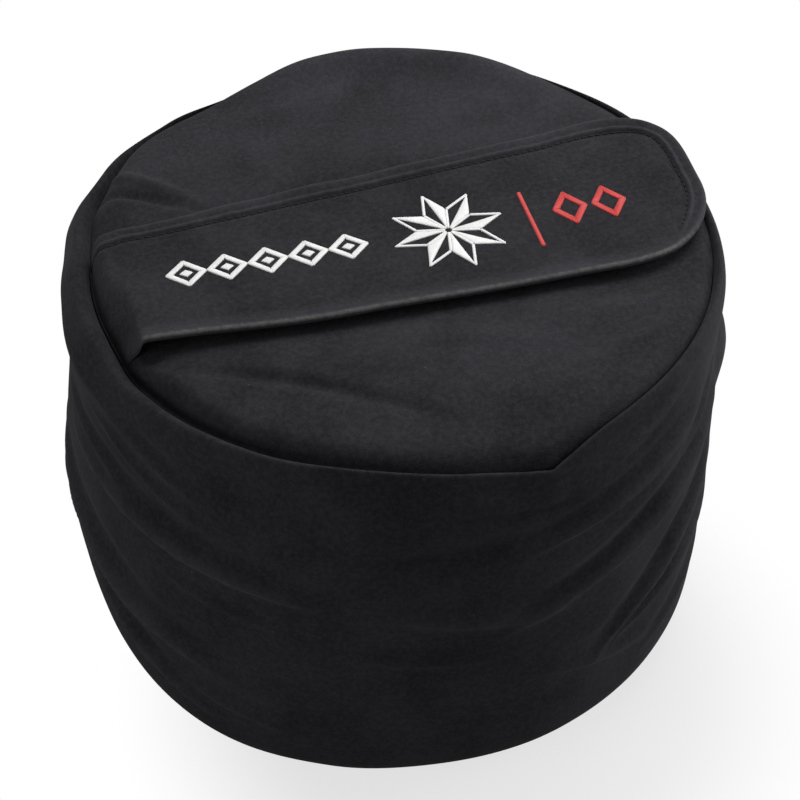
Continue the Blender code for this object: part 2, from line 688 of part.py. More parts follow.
def make_spout():
    """The filling sleeve, gathered over the neck and laid down to the back."""
    turn = np.linspace(0, 2 * math.pi, 16, endpoint=False)
    low = FILL_HEIGHT + GAP
    rows = [(NECK_RADIUS + BASE_LAP / 2, 0), (NECK_RADIUS, SPOUT_RISE / 4)]
    rows += [(NECK_RADIUS / 2, SPOUT_RISE), (SPOUT_NECK, SPOUT_RISE + SPOUT_NECK)]
    radii = np.array([[radius] for radius, _ in rows])
    heights = np.array([[low + rise] for _, rise in rows])
    points = ring_points(radii, heights, turn)
    spout = add_object("liner_spout", closed_rings("liner_spout", points), GREY_LINER)
    reach = SPOUT_TAIL + NECK_RADIUS / 2
    along_shares = np.array([0.1, 0.35, 0.47, 0.53, 0.8, 1])[:, None]
    along = reach * along_shares
    width_shares = np.array([0.6, 0.25, 0.22, 0.22, 0.8, 1])[:, None]
    half = SPOUT_FAN * width_shares
    tail_x = half * np.cos(turn)
    tail_z = low + SPOUT_RISE + SPOUT_NECK * np.sin(turn) + 0 * along
    tail_points = np.stack([tail_x, np.broadcast_to(along, tail_x.shape), tail_z], axis=-1)
    tail = add_object("spout_tail", closed_rings("spout_tail", tail_points), GREY_LINER)
    boolean(spout, tail, "UNION")
    rings = []
    for out, side in ((0, -1), (0, 1), (TIE_THICKNESS, 1), (TIE_THICKNESS, -1), (0, -1)):
        ring_x = (half.min() + GAP + out) * np.cos(turn)
        ring_y = np.full_like(turn, reach * TIE_PLACE_SHARE + side * TIE_THICKNESS)
        ring_z = low + SPOUT_RISE + (SPOUT_NECK + GAP + out) * np.sin(turn)
        rings.append(np.stack([ring_x, ring_y, ring_z], axis=-1))
    add_object("spout_tie", mesh_of_grid("spout_tie", np.array(rings), wrap=True), BLACK_TAPE)


def make_sand():
    """One solid that fills the inner bag."""
    radii, heights = inner_rows(SAND_INSET, FILL_HEIGHT - LINER - GAP)
    mesh = closed_rings("sand_fill", ring_points(radii, heights, ALL_ANGLES))
    add_object("sand_fill", mesh, SAND_TAN, roughness=1.0)


clear_scene()
flap_axis = empty_at("flap_axis", (HINGE_X, FLAP_Y, HINGE_Z))
slider_axis = empty_at("slider_axis", (SLIDER_X, ZIP_Y, ZIP_HEIGHT))
pull_axis = empty_at("pull_axis", (0, 0, PULL_RISE), parent=slider_axis)
make_side_panel()
make_base_panel()
make_top_panel("top_panel_front", FRONT_ANGLES, -1)
make_top_panel("top_panel_rear", REAR_ANGLES, 1)
make_top_seam_binding()
make_base_seam_binding()
make_side_seam_tape()
make_zip_rows()
make_zip_ends()
make_hook_and_loop()
make_flap()
make_flap_root()
make_slider()
make_pull_tab()
make_liner()
make_spout()
make_sand()
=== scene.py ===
"""Looks of a round training sandbag in black canvas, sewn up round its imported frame.

Metres, +Z up, +X along the flap towards its rounded tip, the front at -Y, as in the frame.
"""

import math

import bmesh
import bpy
import numpy as np
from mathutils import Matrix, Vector


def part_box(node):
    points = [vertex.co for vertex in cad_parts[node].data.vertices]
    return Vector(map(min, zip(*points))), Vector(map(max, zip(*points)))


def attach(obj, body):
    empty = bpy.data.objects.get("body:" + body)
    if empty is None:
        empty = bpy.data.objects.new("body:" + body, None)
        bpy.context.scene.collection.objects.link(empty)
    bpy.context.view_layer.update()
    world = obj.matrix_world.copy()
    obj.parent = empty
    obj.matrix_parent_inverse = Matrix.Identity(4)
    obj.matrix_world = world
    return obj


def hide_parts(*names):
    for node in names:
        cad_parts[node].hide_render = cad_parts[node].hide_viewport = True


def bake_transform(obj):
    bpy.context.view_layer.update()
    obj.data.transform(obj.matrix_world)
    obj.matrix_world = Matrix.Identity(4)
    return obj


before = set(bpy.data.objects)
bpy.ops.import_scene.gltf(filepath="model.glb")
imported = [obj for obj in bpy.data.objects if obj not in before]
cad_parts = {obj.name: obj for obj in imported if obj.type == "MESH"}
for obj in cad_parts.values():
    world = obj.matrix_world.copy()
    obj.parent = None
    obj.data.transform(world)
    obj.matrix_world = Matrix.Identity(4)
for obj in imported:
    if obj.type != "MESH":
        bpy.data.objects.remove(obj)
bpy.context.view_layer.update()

# Base panel: a round of heavy canvas under the bag. The wall's lower edge is turned in over
# it by 10 mm and sewn down, so from below the base shows as one flat disc.

MM = 0.001
CANVAS = 1.2 * MM
CANVAS_BLACK = (0.0082, 0.0080, 0.0096)
# Grey of dust, and of painted highlight on raised places
DUST_AND_HIGHLIGHT_GREY = (0.0435, 0.0425, 0.0495)
# Paler grey of wear and painted highlight on the most raised edges
WORN_AND_HIGHLIGHT_GREY = (0.099, 0.098, 0.096)
LINT_GREY = (0.13, 0.13, 0.135)
THREAD_PITCH = 0.75 * MM
BASE_RINGS = 24
STATIONS = 440
WELD_DISTANCE = 0.02 * MM
BASE_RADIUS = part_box("base_panel")[1][0]


def joined(*columns):
    """Coordinates stacked into points, after each is spread over the others' rows."""
    return np.stack(np.broadcast_arrays(*columns), axis=-1)


def sheet_mesh(points, uv=None, wrap=False, flip=False, **traits):
    """Quads over points[row, column], closed round the columns where wrap is set.

    uv lays the weave down: the points' own x and y, or else one more column than the points
    have where wrap is set, so that the weave meets itself. Each trait is a number per point.
    """
    rows, columns = points.shape[:2]
    along = np.arange(columns + wrap) % columns
    index = np.arange(rows * columns).reshape(rows, columns)[:, along]
    place = np.arange(index.size).reshape(rows, -1)
    uv = points[:, along, :2] if uv is None else uv
    corners = [(0, 0), (0, 1), (1, 1), (1, 0)][::-1 if flip else 1]
    height, width = np.array(index.shape) - 1
    quads, places = [np.stack([grid[r:height + r, c:width + c] for r, c in corners], axis=-1)
                     for grid in (index, place)]
    mesh = bpy.data.meshes.new("sheet")
    mesh.from_pydata(points.reshape(-1, 3).tolist(), [], quads.reshape(-1, 4).tolist())
    layer = mesh.uv_layers.new(name="cloth")
    layer.data.foreach_set("uv", uv.reshape(-1, 2)[places.ravel()].astype(np.float32).ravel())
    for trait, values in traits.items():
        attribute = mesh.attributes.new(trait, "FLOAT", "POINT")
        attribute.data.foreach_set("value", np.ravel(values).astype(np.float32))
    mesh.shade_smooth()
    return mesh


def new_piece(name, mesh, finish, slot, body="bag", stands_for=None, thickness=0):
    """Puts a mesh in the scene on its body, with its finish, and hides the CAD nodes that it stands for.

    It stands for the CAD node of its slot's name unless others are given. A single layer of
    cloth gets its real thickness behind its face.
    """
    piece = bpy.data.objects.new(name, mesh)
    mesh.name = name
    bpy.context.scene.collection.objects.link(piece)
    mesh.materials.append(finish)
    if body:
        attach(piece, body)
    nodes = [slot] if stands_for is None else stands_for
    if nodes:
        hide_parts(*nodes)
    if thickness:
        solid = piece.modifiers.new("Thickness", "SOLIDIFY")
        solid.thickness = thickness
        solid.offset = -1
        solid.use_quality_normals = True
    return piece


class Value:
    """A shader socket that Python's own arithmetic turns into Math nodes."""

    def __init__(self, tree, socket):
        self.tree = tree
        self.socket = socket

    def node(self, kind, settings=None, output=0, **values):
        """Adds a node of this kind: first its settings, then its sockets by name or place.

        What comes back is the output of the name or place that is given.
        """
        made = self.tree.nodes.new(kind)
        for key, setting in (settings or {}).items():
            setattr(made, key, setting)
        for key, value in values.items():
            socket = made.inputs[int(key[2:]) if key[:2] == "at" else key]
            if isinstance(value, Value):
                self.tree.links.new(value.socket, socket)
            else:
                socket.default_value = value
        return Value(self.tree, made.outputs[output])

    def math(self, operation, first, second=0.0):
        return self.node("ShaderNodeMath", {"operation": operation}, at0=first, at1=second)

    def __add__(self, other):
        return self.math("ADD", self, other)

    def __sub__(self, other):
        return self.math("SUBTRACT", self, other)

    def __rsub__(self, other):
        return self.math("SUBTRACT", other, self)

    def __mul__(self, other):
        return self.math("MULTIPLY", self, other)

    __radd__ = __add__
    __rmul__ = __mul__

    def __abs__(self):
        return self.math("ABSOLUTE", self)

    def cos(self):
        return self.math("COSINE", self)

    def max(self, other):
        return self.math("MAXIMUM", self, other)

    def over(self, edge):
        """One where the value is more than edge, and nothing elsewhere."""
        return self.math("GREATER_THAN", self, edge)

    def between(self, low, high):
        """Nothing up to low, rising smoothly to one at high."""
        settings = {"interpolation_type": "SMOOTHSTEP"}
        return self.node("ShaderNodeMapRange", settings, Value=self, at1=low, at2=high)

    def blend(self, first, second):
        """The colour first where the value is nothing and second where it is one."""
        ends = [end if isinstance(end, Value) else (*end, 1.0) for end in (first, second)]
        settings = {"data_type": "RGBA"}
        return self.node("ShaderNodeMix", settings, output=2, at0=self, at6=ends[0], at7=ends[1])


def new_finish(name, roughness, sheen=0.0, metallic=0.0, specular=0.3):
    """A material with its uniform values, the piece's Object coordinates, and its shader."""
    finish = bpy.data.materials.new(name)
    finish.use_nodes = True
    tree = finish.node_tree
    shader = tree.nodes["Principled BSDF"]
    uniform = {"Roughness": roughness, "Metallic": metallic, "Specular IOR Level": specular,
               "Sheen Weight": sheen, "Sheen Roughness": 0.45}
    for socket, value in uniform.items():
        shader.inputs[socket].default_value = value
    return finish, Value(tree, None).node("ShaderNodeTexCoord", output="Object"), shader


def feed(shader, **values):
    """Joins values to the shader's own sockets, with an underscore for each space."""
    for name, value in values.items():
        value.tree.links.new(value.socket, shader.inputs[name.replace("_", " ")])


def noise(place, scale, detail, **more):
    """Smooth noise with so many features to a metre of place, and finer ones in them."""
    return place.node("ShaderNodeTexNoise", Vector=place, Scale=scale, Detail=detail, **more)


def stretched(place, factors):
    """A place with each of its axes multiplied by a factor of its own."""
    return place.node("ShaderNodeVectorMath", {"operation": "MULTIPLY"}, at0=place, at1=factors)


def bump(height, strength, distance):
    """The normal of a surface that is raised by height."""
    return height.node("ShaderNodeBump", Height=height, Strength=strength, Distance=distance)


def on_cloth(solid):
    """The cloth's own coordinates, and the distances along it and across it."""
    place = solid.node("ShaderNodeUVMap", {"uv_map": "cloth"})
    axes = [place.node("ShaderNodeSeparateXYZ", output=axis, Vector=place) for axis in "XY"]
    return place, *axes


def plain_weave(solid, pitch):
    """Heights of a plain weave on the cloth's own coordinates, and those coordinates.

    Each thread is a rounded ridge, the absolute cosine across it, and dives under every
    second crossing by the product of both cosines.
    """
    place, along, across = on_cloth(solid)
    warp = (along * (math.pi / pitch)).cos()
    weft = (across * (math.pi / pitch)).cos()
    over = warp * weft
    return (abs(warp) * (over + 1)).max(abs(weft) * (1 - over)) * 0.5, place


def canvas_finish():
    """Black canvas under grey dust, which lies in clouds, in flecks and on the thicker threads; on raised
    places the same grey is dust and painted highlight. The most raised edges are painted paler still, as
    wear and painted highlight, and specks of lint cling to it.
    """
    finish, solid, shader = new_finish("black_canvas", roughness=0.9, sheen=0.035, specular=0.12)
    height, place = plain_weave(solid, THREAD_PITCH)
    raised = solid.node("ShaderNodeAttribute", {"attribute_name": "raised"}, output="Fac")
    flecks = noise(solid, 420, 7, Roughness=0.72)
    fine = flecks.between(0.36, 0.68)
    slubs = noise(stretched(place, (60, 1400, 1)), 1, 2)
    grain = noise(solid, 30, 6).between(0.32, 0.7) * 0.55 + fine * 0.7 + slubs * 0.2
    # The raised trait paints the grey paler on crests and edges: dust and painted highlight.
    dust_and_highlight = (grain * 0.5 + raised * 0.5 + height * 0.06).blend(CANVAS_BLACK, DUST_AND_HIGHLIGHT_GREY)
    # The most raised edges, above all the flap's rolled hem, are painted paler still: wear and painted
    # highlight.
    worn_and_highlight = (raised * (0.72 + fine * 0.5)).between(1.1, 2.6).blend(dust_and_highlight, WORN_AND_HIGHLIGHT_GREY)
    spots = solid.node("ShaderNodeTexVoronoi", Vector=solid, Scale=230, Randomness=1.0)
    lint = (1 - spots.between(0.03, 0.1)) * noise(solid, 110, 0).over(0.7)
    rise = height * 0.7 + flecks * 0.8 + slubs * 0.5
    feed(shader, Base_Color=(lint * 0.5).blend(worn_and_highlight, LINT_GREY), Normal=bump(rise, 0.4, 0.2 * MM))
    return finish


def welded(mesh):
    """Joins points that lie on each other, as at a pole or along a shared line."""
    shaped = bmesh.new()
    shaped.from_mesh(mesh)
    bmesh.ops.remove_doubles(shaped, verts=shaped.verts, dist=WELD_DISTANCE)
    shaped.to_mesh(mesh)
    shaped.free()
    return mesh


def base_disc():
    """A flat disc in rings: radius times the cosine and sine of the station's angle."""
    radius = np.linspace(0, BASE_RADIUS, BASE_RINGS)[:, None]
    angle = np.linspace(0, 2 * math.pi, STATIONS, endpoint=False)
    points = joined(radius * np.cos(angle), radius * np.sin(angle), 0.0)
    return welded(sheet_mesh(points, wrap=True, raised=0 * points[..., 0]))


canvas = canvas_finish()
base = new_piece("base_canvas", base_disc(), canvas, "base_panel", thickness=CANVAS)

# Side panel: one length of canvas, lapped over the base, up round the sand and over the
# rolled rim into the top seam. The settled sand leaves flat buckles along it, which hang
# in slack bows between the left, the front corner and the right.

SEAM_SHIFT = 5 * MM
SEAM_RADIUS = 137 * MM
SEAM_HEIGHT = 196.5 * MM
SEAM_ALLOWANCE = 7 * MM
WALL_FOOT = 1.5 * MM
WALL_SPANS = (3, 4, 9, 16, 33, 34, 34, 30, 14, 9, 6, 6, 6, 4, 3)
BASE_LAP = 10 * MM
CORNER_ANGLE = -78
CORNER_SPREAD = 9
CORNER_DIP = 9 * MM
CORNER_PUSH = 5 * MM
BINDING_ROOM = 3.2 * MM
HIDDEN_BUCKLES = 34
HIDDEN_FROM = -24
HIDDEN_ARC = 196

wall_low, wall_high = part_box("side_panel")
BAG_RADIUS = (wall_high[1] - wall_low[1]) / 2
DEGREES = np.linspace(-180, 180, STATIONS, endpoint=False)
TURN = np.radians(DEGREES)


def turned(degrees):
    """An angle in degrees brought between minus and plus half a turn."""
    return (degrees + 180) % 360 - 180


def eased(share):
    """A share from nothing to one that starts and ends slowly: 3 squares less 2 cubes."""
    return share * share * (3 - 2 * share)


def around(degrees, *table):
    """Millimetres read round the bag from a table of (degrees, value), eased between them."""
    at, value = np.array(sorted(table), float).T
    at = np.concatenate([at[-1:] - 360, at, at[:1] + 360])
    value = np.concatenate([value[-1:], value, value[:1]])
    degrees = turned(degrees)
    left = np.clip(np.searchsorted(at, degrees, side="right") - 1, 0, len(at) - 2)
    share = eased((degrees - at[left]) / (at[left + 1] - at[left]))
    return (value[left] + (value[left + 1] - value[left]) * share) * MM


def corner(degrees):
    """One at the seam's front corner, dying away on both sides as an exponential."""
    return np.exp(-np.abs(turned(degrees - CORNER_ANGLE)) / CORNER_SPREAD)


def seam_distance(degrees):
    """Distance from the axis to the top seam.

    The seam is a ring whose middle is shifted along +X, let out behind and pushed out at its
    front corner.
    """
    angle = np.radians(degrees)
    across = SEAM_SHIFT * np.sin(angle)
    out = around(degrees, (35, 0), (62, 3.5), (80, 5), (100, 4.5), (112, 4.7), (124, 6.3),
                 (134, 6.5), (150, 4.5), (167, 0)) + CORNER_PUSH * corner(degrees)
    return SEAM_SHIFT * np.cos(angle) + np.sqrt(SEAM_RADIUS**2 - across**2) + out


def seam_height(degrees):
    """Height of the top seam: a slow wave round the bag and one sharp dip at the front."""
    wave = around(degrees, (-171, 0), (-157, -7), (-128, -5.4), (-112, -3.4), (-96, -3), (-84, -3),
                  (-76, -0.5), (-66, 2), (-50, 2), (-10, 2), (30, 6), (60, 5), (80, 3), (105, -1),
                  (125, -2.5), (148, -3), (174, 0))
    return SEAM_HEIGHT + wave - CORNER_DIP * corner(degrees)


def bowed(controls, per_span):
    """A smooth run along rows of control points: the uniform cubic B-spline through spans.

    controls is [point, station]; per_span says how many rows each span is cut into.
    """
    spans = []
    for number, count in enumerate(per_span):
        t = np.linspace(0, 1, count, endpoint=number == len(per_span) - 1)[:, None]
        weights = ((1 - t) ** 3, 3 * t**3 - 6 * t**2 + 4, 1 + 3 * t + 3 * t**2 - 3 * t**3, t**3)
        spans.append(sum(w * controls[number + k][None] for k, w in enumerate(weights)) / 6)
    return np.concatenate(spans)


def outline_rows(pairs, per_span, degrees):
    """Rows of radius and rows of height at each station, bowed along pairs of the two."""
    return [bowed(np.array([value + 0 * degrees for value in column]), per_span)
            for column in zip(*pairs)]


def belly(degrees):
    """Radii of the bag's side near the floor, halfway up and below the rim."""
    low = around(degrees, (-150, 0), (-105, -1), (-60, -1), (-20, -1), (90, 0), (160, -2))
    mid = around(degrees, (-165, 3), (-105, 0), (-40, 0), (60, -1), (150, 1), (178, 3))
    high = around(degrees, (-165, -5), (-135, -3), (-105, -2), (-48, 0), (-26, -3), (40, -3),
                  (90, -4), (150, -4), (177, -6))
    return BAG_RADIUS + low, BAG_RADIUS + mid, BAG_RADIUS + high


def wall_outline(degrees):
    """Radius and height rows of the wall's face at each station, from lap to seam.

    They run under the base, round the toe at the floor, up the belly, over the rim, which
    stands out and rises from the seam, and down inside the seam. The binding has room there.
    """
    seam_r, seam_z = seam_distance(degrees), seam_height(degrees)
    rim = around(degrees, (-168, 12), (-150, 9), (-125, 6), (-95, 4), (-60, 3.5), (-25, 5), (20, 3.5),
                 (45, 2), (62, 0.5), (108, 0.5), (123, 2.5), (142, 6.5), (158, 10), (174, 10.5))
    rise = around(degrees, (-170, 6), (-155, 4.5), (-138, 4.2), (-110, 3.9), (-92, 1.6), (-60, 1),
                  (-20, 2), (20, 0.5), (45, 0), (62, -1), (105, -1), (122, 1.5), (150, 3.5))
    toe = around(degrees, (-172, 1), (-134, 6), (-116, 4), (-96, 1.5), (-72, 3), (-48, 4), (0, 2),
                 (90, 2))
    low, mid, high = belly(degrees)
    lap = BASE_RADIUS - BASE_LAP
    inside = seam_r + 0.2 * MM
    pairs = (
        (lap, WALL_FOOT), (lap, WALL_FOOT), (BASE_RADIUS, WALL_FOOT),
        (low + toe - 17 * MM, WALL_FOOT), (low + toe * 0.6 - 4.5 * MM, 11.5 * MM),
        (low + 0.5 * MM, 34 * MM), (mid, 70 * MM), (mid, 106 * MM), (high + 2 * MM, 142 * MM),
        (high, seam_z - 22 * MM), (seam_r + np.maximum(rim * 1.4, BINDING_ROOM), seam_z - 9 * MM),
        (seam_r + np.maximum(rim * 1.05, BINDING_ROOM - 0.4 * MM), seam_z - 2 * MM),
        (seam_r + rim * 0.75, seam_z + rise * 1.2), (seam_r + rim * 0.3, seam_z + rise),
        (seam_r + 0.4 * MM, seam_z - 1 * MM), (inside, seam_z - 3 * MM),
        (inside, seam_z - SEAM_ALLOWANCE), (inside, seam_z - SEAM_ALLOWANCE),
    )
    return outline_rows(pairs, WALL_SPANS, degrees)


def bell(distance, width):
    """One at no distance, dying away as the exponential of minus the squared share of width."""
    return np.exp(-((distance / width) ** 2))


def buckle(degrees, height, start, end, sag, depth, width):
    """One flat buckle across a bowed line from start to end, fading at both ends.

    start and end are (degrees, millimetres). It is about the exponential of minus its distance
    to the power 1.4, so its crest is narrow, and it falls away twice as fast below its line.
    A shallower hollow lies along it above.
    """
    share = np.clip(turned(degrees - start[0]) / (end[0] - start[0]), 0, 1)
    line = start[1] + (end[1] - start[1]) * share - 4 * sag * share * (1 - share)
    across = height / MM - line
    across = np.where(across < 0, across * 1.8, across) / width
    fall = (across**2 + 0.12) ** 0.7 - 0.12**0.7
    form = np.exp(-fall) - 0.5 * bell(across - 2.3, 1.2)
    return depth * MM * np.sin(math.pi * share) ** 1.1 * form


SEEN_BUCKLES = (
    ((-168, 190), (-136, 163), 2, 2.6, 3.0),
    ((-178, 139), (-112, 122), -3, 4.6, 5.0),
    ((-188, 112), (-130, 58), 1, 4.4, 5.6),
    ((-172, 70), (-134, 26), 0, 3.4, 4.4),
    ((-182, 158), (-152, 140), 0, 2.2, 3.2),
    ((-166, 172), (-134, 150), 2, 1.3, 2.6),
    ((-150, 116), (-120, 104), 1, 0.8, 2.6),
    ((-168, 92), (-146, 72), 0, 1.1, 2.4),
    ((-152, 52), (-118, 34), 1, 1.2, 4.0),
    ((-36, 197), (-70, 176), -2, 2.8, 2.8),
    ((-44, 172), (-84, 147), 0, 3.4, 3.6),
    ((-30, 160), (-88, 100), 0, 4.4, 4.4),
    ((-30, 128), (-70, 56), -2, 4.2, 4.6),
    ((-26, 88), (-66, 60), -4, 3.2, 3.8),
    ((-32, 178), (-52, 150), 0, 1.3, 2.6),
    ((-34, 110), (-52, 84), 0, 1.2, 2.6),
    ((-30, 60), (-56, 34), 0, 1.6, 3.6),
    ((-44, 140), (-64, 122), 1, 1.0, 2.4),
    ((-114, 154), (-66, 158), 0, -2.2, 6.5),
    ((-102, 174), (-66, 168), 0, -1.6, 3.6),
    ((-110, 124), (-68, 106), 2, 1.9, 6.0),
    ((-84, 72), (-50, 44), 0, 1.6, 5.0),
    ((-116, 96), (-84, 88), 1, 0.9, 4.0),
    ((-152, 172), (-94, 178), 0, -2.4, 13.0),
)


def wall_buckles(degrees, height):
    """All the buckles that show in front, and as many of their kind round the back."""
    draw = np.random.default_rng(7)
    total = sum(buckle(degrees, height, *each) for each in SEEN_BUCKLES)
    for number in range(HIDDEN_BUCKLES):
        middle = HIDDEN_FROM + HIDDEN_ARC * (number + 0.5) / HIDDEN_BUCKLES + draw.uniform(-7, 7)
        half = draw.uniform(9, 26)
        level = draw.uniform(36, 182)
        tilt = draw.uniform(-22, 22)
        ends = (middle - half, level - tilt / 2), (middle + half, level + tilt / 2)
        size = draw.uniform(1.0, 3.0) * draw.choice([1, 1, -0.7])
        total = total + buckle(degrees, height, *ends, draw.uniform(-3, 4), size, draw.uniform(3, 6.5))
    return total


def ripple(x, y, z, scale, seed, turns=9):
    """Soft unevenness: a sum of sine waves in drawn directions, about one high."""
    draw = np.random.default_rng(seed)
    total = 0
    for _ in range(turns):
        way = draw.normal(size=3)
        way *= draw.uniform(0.6, 1.6) / scale / np.linalg.norm(way)
        total = total + np.sin(x * way[0] + y * way[1] + z * way[2] + draw.uniform(0, 6.3))
    return total / math.sqrt(turns)


def ring_points(radii, heights, angle=TURN):
    """Rows of radius and height turned round the axis to each station's angle."""
    return joined(radii * np.cos(angle), radii * np.sin(angle), heights)


def ring_ripple(radii, heights, scale, seed):
    """Unevenness of rows of radius and height that are turned round the axis."""
    return ripple(*ring_points(radii, heights).transpose(2, 0, 1), scale, seed)


def ring_mesh(radii, heights, flip=False, **traits):
    """Rows of radius and height turned round the axis, with the weave laid round and up."""
    points = ring_points(radii, heights)
    steps = np.linalg.norm(np.diff(points, axis=0), axis=-1).mean(axis=1)
    up = np.concatenate([[0], np.cumsum(steps)])[:, None]
    threads = 2 * round(math.pi * BAG_RADIUS / THREAD_PITCH)
    round_it = threads * THREAD_PITCH * np.linspace(0, 1, STATIONS + 1)
    return sheet_mesh(points, joined(round_it, up), wrap=True, flip=flip, **traits)


def wall_mesh():
    """The wall's rows, with buckles and unevenness pushed outwards, fading at both edges."""
    radii, heights = wall_outline(DEGREES)
    free = np.clip((heights - 8 * MM) / (26 * MM), 0, 1)
    free = free * np.clip((seam_height(DEGREES) - 3 * MM - heights) / (10 * MM), 0, 1)
    free = free * (radii > seam_distance(DEGREES) + 1 * MM)
    push = wall_buckles(DEGREES, heights) + ring_ripple(radii, heights, 16 * MM, 3) * 0.45 * MM
    push = (push + ring_ripple(radii, heights, 6 * MM, 4) * 0.14 * MM) * eased(free)
    # The raised trait paints the buckles' crests paler: dust and painted highlight.
    return ring_mesh(radii + push, heights, raised=0.9 * np.clip(push / (3.4 * MM), 0, 1) ** 1.4)


wall = new_piece("side_canvas", wall_mesh(), canvas, "side_panel")

# Tapes inside the wall: narrow twill tape over the lapped seam of wall and base, and down
# the wall's one upright seam at the back. Both are sewn flat and show only from inside.

TAPE_BLACK = (0.014, 0.014, 0.015)
THREAD_BLACK = (0.005, 0.005, 0.006)
TWILL_PITCH = 0.9 * MM
BINDING_ROWS = 8
SEAM_TAPE_WIDTH = 12 * MM
SEAM_TAPE_GAP = 2.2 * MM

binding_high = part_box("base_seam_binding")[1]


def tape_finish(name, colour):
    """Twill tape: fine slanted ribs, which are cosines of along plus across."""
    finish, solid, shader = new_finish(name, roughness=0.75, sheen=0.08, specular=0.25)
    _, along, across = on_cloth(solid)
    ribs = abs(((along + across) * (math.pi / TWILL_PITCH)).cos())
    picks = abs((across * (math.pi / TWILL_PITCH * 3)).cos())
    lighter = tuple(3 * share for share in colour)
    tone = (ribs * 0.25 + noise(solid, 260, 3) * 0.4).blend(colour, lighter)
    feed(shader, Base_Color=tone, Normal=bump(ribs + picks * 0.4, 0.6, 0.15 * MM))
    return finish


def base_binding_mesh():
    """A flat ring between the CAD ring's inner and outer edge, raised by half a sine."""
    radii = np.linspace(binding_high[0] - BASE_LAP, binding_high[0], BINDING_ROWS)[:, None]
    heights = binding_high[2] + 0.05 * MM * np.sin(np.linspace(0, math.pi, BINDING_ROWS))[:, None]
    return ring_mesh(radii, heights, flip=True)


def side_tape_mesh():
    """A strip up the inside of the wall's back, on the wall's own rows moved in a little."""
    degrees = 90 + np.degrees(np.linspace(-0.5, 0.5, 9) * SEAM_TAPE_WIDTH / BAG_RADIUS)
    radii, heights = wall_outline(degrees)
    middle = heights.mean(axis=1)
    chosen = (middle > 12 * MM) & (middle < SEAM_HEIGHT - 14 * MM)
    radii, heights, angle = radii[chosen] - SEAM_TAPE_GAP, heights[chosen], np.radians(degrees)
    return sheet_mesh(ring_points(radii, heights, angle), joined(angle * BAG_RADIUS, heights))


twill = tape_finish("black_twill_tape", TAPE_BLACK)
thread = tape_finish("black_thread", THREAD_BLACK)
binding = new_piece("base_binding_tape", base_binding_mesh(), twill, "base_seam_binding")
side_tape = new_piece("side_seam_twill", side_tape_mesh(), twill, "side_seam_tape")

# Inner bag and sand: a grey woven plastic sack that holds the sand. Its filling sleeve is
# gathered over the neck, tied with a cord and laid down to the back under the zip.

LINER_GREY = (0.30, 0.31, 0.32)
LINER_PALE = (0.52, 0.53, 0.54)
LINER_PITCH = 2.0 * MM
LINER_PLEATS = 30
SHOULDER = 12 * MM
SAND_TAN = (0.40, 0.30, 0.19)
SAND_PALE = (0.7, 0.6, 0.45)
GRAINS = 1600
LINER_CLEAR = 3.6 * MM
SAND_CLEAR = 4.6 * MM
NECK_RADIUS = 25 * MM
SLEEVE_CLOTH = 0.35 * MM
SLEEVE_STEPS = 96
SLEEVE_PLEATS = 16
CORD_RADIUS = 0.5 * MM
CORD_STEPS = 120
LINER_SPANS = (3, 3, 5, 5, 6, 8, 8, 8, 6, 5, 4, 5)

FILL_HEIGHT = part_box("liner_body")[1][2]
FLOOR_OF_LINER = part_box("liner_base")[0][2]
spout_low, spout_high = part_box("liner_spout")


def liner_finish():
    """Woven plastic strips: a broad glossy weave with a slight colour change in each strip."""
    finish, solid, shader = new_finish("grey_woven_liner", roughness=0.4, specular=0.45)
    height, _ = plain_weave(solid, LINER_PITCH)
    tone = (noise(solid, 90, 4) * 0.6 + height * 0.3).blend(LINER_GREY, LINER_PALE)
    feed(shader, Base_Color=tone, Normal=bump(height, 0.5, 0.2 * MM))
    return finish


def sand_finish():
    """Washed sand: grains about half a millimetre across in shades of brown."""
    finish, solid, shader = new_finish("washed_sand", roughness=0.85)
    grains, colours = [solid.node("ShaderNodeTexVoronoi", output=output, Vector=solid, Scale=GRAINS)
                       for output in ("Distance", "Color")]
    shade = colours.node("ShaderNodeSeparateXYZ", Vector=colours)
    tone = (shade * 0.6 + noise(solid, 25, 4) * 0.3).blend(SAND_TAN, SAND_PALE)
    feed(shader, Base_Color=tone, Normal=bump(1 - grains, 0.8, 0.3 * MM))
    return finish


def filled_rows(clear, top, inner, neck):
    """The belly's rows moved in by clear, with the corner's dip in their shoulder.

    They start at the radius inner on the floor and end at the radius neck on the top.
    """
    low, mid, high = belly(DEGREES)
    foot = FLOOR_OF_LINER + (clear - LINER_CLEAR)
    dip = CORNER_DIP * corner(DEGREES)
    side = (
        (low - 17 * MM, foot), (low - 4.5 * MM, 12 * MM), (low + 0.5 * MM, 34 * MM), (mid, 70 * MM),
        (mid, 106 * MM), (high + 2 * MM, 142 * MM), (high - dip * 0.5, top - 14 * MM - dip),
        (high - 12 * MM, top - 1 * MM - dip), (high - 30 * MM, top - dip),
    )
    side = [(radius - clear, height) for radius, height in side]
    pairs = [(inner, foot), (inner, foot), (BASE_RADIUS * 0.5, foot), *side,
             (high * 0.5, top), (neck, top), (neck, top)]
    return outline_rows(pairs, LINER_SPANS, DEGREES)


def liner_mesh():
    """The sack's wall, slack between the wall's buckles, with pleats over its shoulder."""
    radii, heights = filled_rows(LINER_CLEAR, FILL_HEIGHT, BASE_RADIUS * 0.75, NECK_RADIUS)
    slack = ring_ripple(radii, heights, 11 * MM, 21) * 0.4 * MM
    over = np.clip((heights - FILL_HEIGHT + SHOULDER) / SHOULDER, 0, 1)
    pleats = np.cos(TURN * LINER_PLEATS) * np.clip(1 - (radii - NECK_RADIUS) / (60 * MM), 0, 1)
    return ring_mesh(radii + slack * (1 - over), heights + 0.5 * MM * pleats * over)


